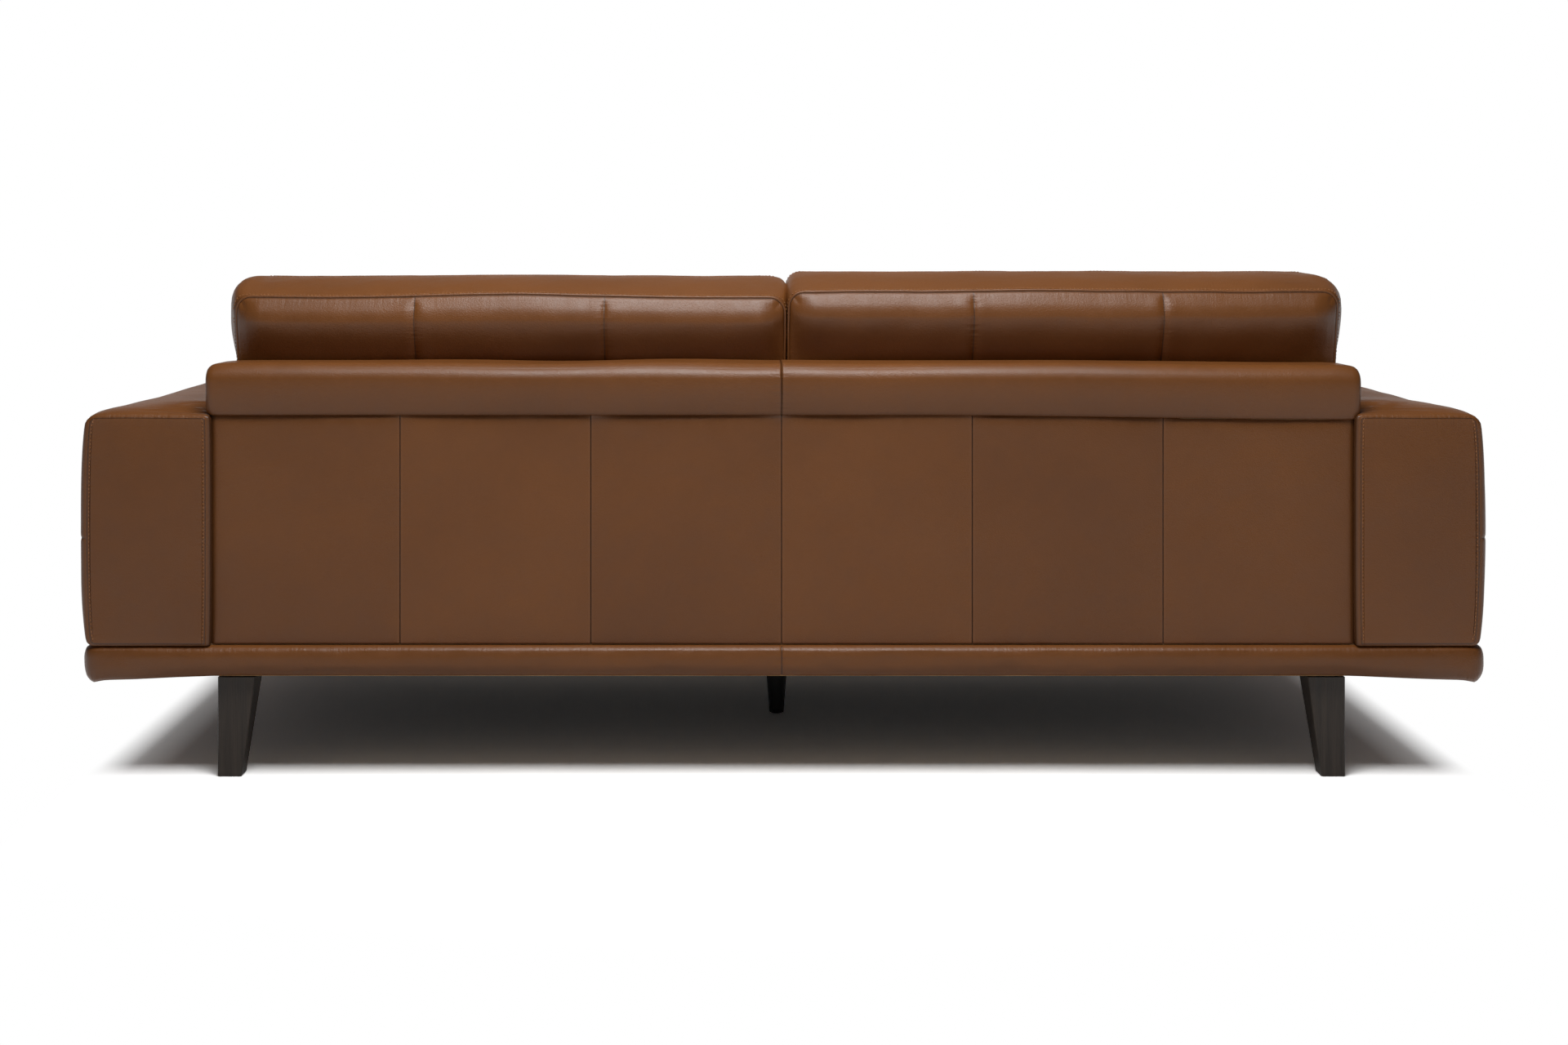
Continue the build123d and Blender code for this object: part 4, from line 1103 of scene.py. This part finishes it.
def seat_cushion(side_name, side):
    """A seat cushion with its welts and topstitching, lying on the deck."""
    cushion = Skin(
        lines(0, SEAT_SIZE[0], 10 * MM, 32 * MM),
        lines(0, SEAT_SIZE[1], 10 * MM, 32 * MM),
        lines(0, SEAT_SIZE[2], 8 * MM, 8 * MM),
    )
    cushion.place = seat_form(cushion.flat)
    carry(cushion, seat_copy, seat_move)
    x, y, z = cushion.flat.T
    edge = from_edge((x, 0, SEAT_SIZE[0]), (y, 0, SEAT_SIZE[1]))
    from_rim = np.maximum(np.minimum(z, SEAT_SIZE[2] - z), edge)
    # Painted shade along the welts.
    cushion.mark("seam", 0.7 * near(from_rim, 1.4 * MM))
    cushion.mark("pucker_h", 0.5 * near(from_rim, 16 * MM))
    unevenness = 0.7 * waves(cushion.flat, 0.13, 100 + side) + 0.2 * waves(cushion.flat, 0.04, 104 + side)
    cushion.swell(unevenness * MM)
    cushion.place[:, 2] = np.maximum(cushion.place[:, 2], 0)
    stitch_level = SEAT_SIZE[2] - 7 * MM
    cushion.swell(-0.5 * MM * near(z - stitch_level, 1.8 * MM) * (edge < ON_FACE))
    low_x = 2 * MM if side > 0 else -seat_high[0] + 2 * MM
    cushion.place += np.array((low_x, seat_low[1] + 9 * MM, seat_low[2]))
    body = f"{side_name}_seat_cushion"
    for level_name, level in (("top", SEAT_SIZE[2]), ("foot", 0.0)):
        placed, facing = cushion.loop(2, level)
        placed = placed + facing * WELT_LIFT
        placed[:, 2] = np.maximum(placed[:, 2], seat_low[2] + WELT_RADIUS + 0.2 * MM)
        welt(f"{body}_{level_name}_welt", placed, "cushion_leather", body)
    row = path((SEAT_SIZE[0], 0.2, stitch_level), (SEAT_SIZE[0], 0, stitch_level),
               (0, 0, stitch_level), (0, 0.2, stitch_level))
    stitches(f"{body}_stitching", cushion, [row], body)
    cushion.piece(f"{body}_upholstery", "cushion_leather", body, (f"{body}_cover", f"{body}_core"))


for side_name, side in SIDES:
    seat_cushion(side_name, side)


# Studio -------------------------------------------------------------------------------------

camera_data = bpy.data.cameras.new("camera")
camera_data.lens, camera_data.sensor_width = 50, 36
camera_data.shift_x, camera_data.shift_y = 0.0286, -0.189
camera = bpy.data.objects.new("camera", camera_data)
camera.location = (0.068, 3.965, 0.885)
camera.rotation_euler = (math.radians(90), 0, math.radians(180))
bpy.context.scene.collection.objects.link(camera)
bpy.context.scene.camera = camera

# The floor is grey paper that takes the shadow, and turns to plain white away from the sofa.
bpy.ops.mesh.primitive_plane_add(size=30)
floor = bpy.context.object
floor.name = "studio_floor"
paper = Finish("floor_paper")
here = paper.node("TexCoord", {}, {}, "Object")
spread = paper.node("VectorMath", {"operation": "MULTIPLY"}, {0: here, 1: (0.66, 0.8, 0)})
reach = paper.node("VectorMath", {"operation": "LENGTH"}, {0: spread}, "Value")
across = paper.node("SeparateXYZ", {}, {"Vector": here}, "X")
across = paper.node("Math", {"operation": "ABSOLUTE"}, {0: across})
# Beside the sofa's ends the paper glows white from just inside its footprint outwards, over the shadow
# that the sofa casts there: painted light.
beside = paper.steps(across * 0.5, (0.5, 0), (0.53, 0.12), (0.56, 1))
far = 1 - (1 - beside) * (1 - paper.steps(reach * 0.5, (0.42, 0), (0.52, 1)))
in_camera = paper.node("LightPath", {}, {}, "Is Camera Ray")
seen = in_camera + in_camera.output("Is Glossy Ray")
tone = paper.mix(in_camera, (0.6, 0.6, 0.6, 1), (2.0, 2.0, 2.0, 1))
matt = paper.node("BsdfDiffuse", {}, {"Color": tone}, "BSDF")
glow = paper.node("Emission", {}, {"Color": (1, 1, 1, 1), "Strength": 1.0}, "Emission")
paper.tree.links.new(
    paper.node("MixShader", {}, {0: far * seen, 1: matt, 2: glow}, "Shader").socket,
    paper.tree.nodes["Material Output"].inputs["Surface"])
floor.data.materials.append(paper.material)


def lamp(name, place, aim, size, energy, in_reflections=True):
    """A softbox that looks at a point. Left out of reflections, it puts no sheen on the leather."""
    data = bpy.data.lights.new(name, "AREA")
    data.shape, data.size, data.size_y = "RECTANGLE", *size
    data.energy = energy
    made = bpy.data.objects.new(name, data)
    made.location = place
    made.visible_glossy = in_reflections
    made.rotation_euler = (Vector(aim) - Vector(place)).to_track_quat("-Z", "Y").to_euler()
    bpy.context.scene.collection.objects.link(made)


lamp("overhead_softbox", (0.05, 1.35, 2.75), (0, 0.2, 0.35), (1.5, 1.4), 65)
lamp("front_softbox", (0, -1.8, 3.1), (0, -0.2, 0.3), (1.6, 1), 30, in_reflections=False)

# The room is dim all round. The camera and mirrored rays towards the backdrop see white.
world = bpy.data.worlds.new("studio")
bpy.context.scene.world = world
world.use_nodes = True
sky = Shading(world.node_tree)
room = sky.node("Background", {}, {"Color": (1, 1, 1, 1), "Strength": 0.085}, "Background")
white = sky.node("Background", {}, {"Color": (1, 1, 1, 1), "Strength": 1.0}, "Background")
heading = sky.node("TexCoord", {}, {}, "Generated")
behind = sky.steps(sky.node("SeparateXYZ", {}, {"Vector": heading}, "Y") * 0.5 + 0.5, (0.08, 1), (0.25, 0))
behind *= sky.steps(sky.node("SeparateXYZ", {}, {"Vector": heading}, "Z"), (0.1, 1), (0.3, 0))
in_camera = sky.node("LightPath", {}, {}, "Is Camera Ray")
bounced = in_camera.output("Is Glossy Ray") + in_camera.output("Is Transmission Ray")
backdrop = sky.node("MixShader", {}, {0: in_camera + bounced * behind, 1: room, 2: white}, "Shader")
sky.tree.links.new(backdrop.socket, sky.tree.nodes["World Output"].inputs["Surface"])

bpy.context.scene.view_settings.view_transform = "Standard"
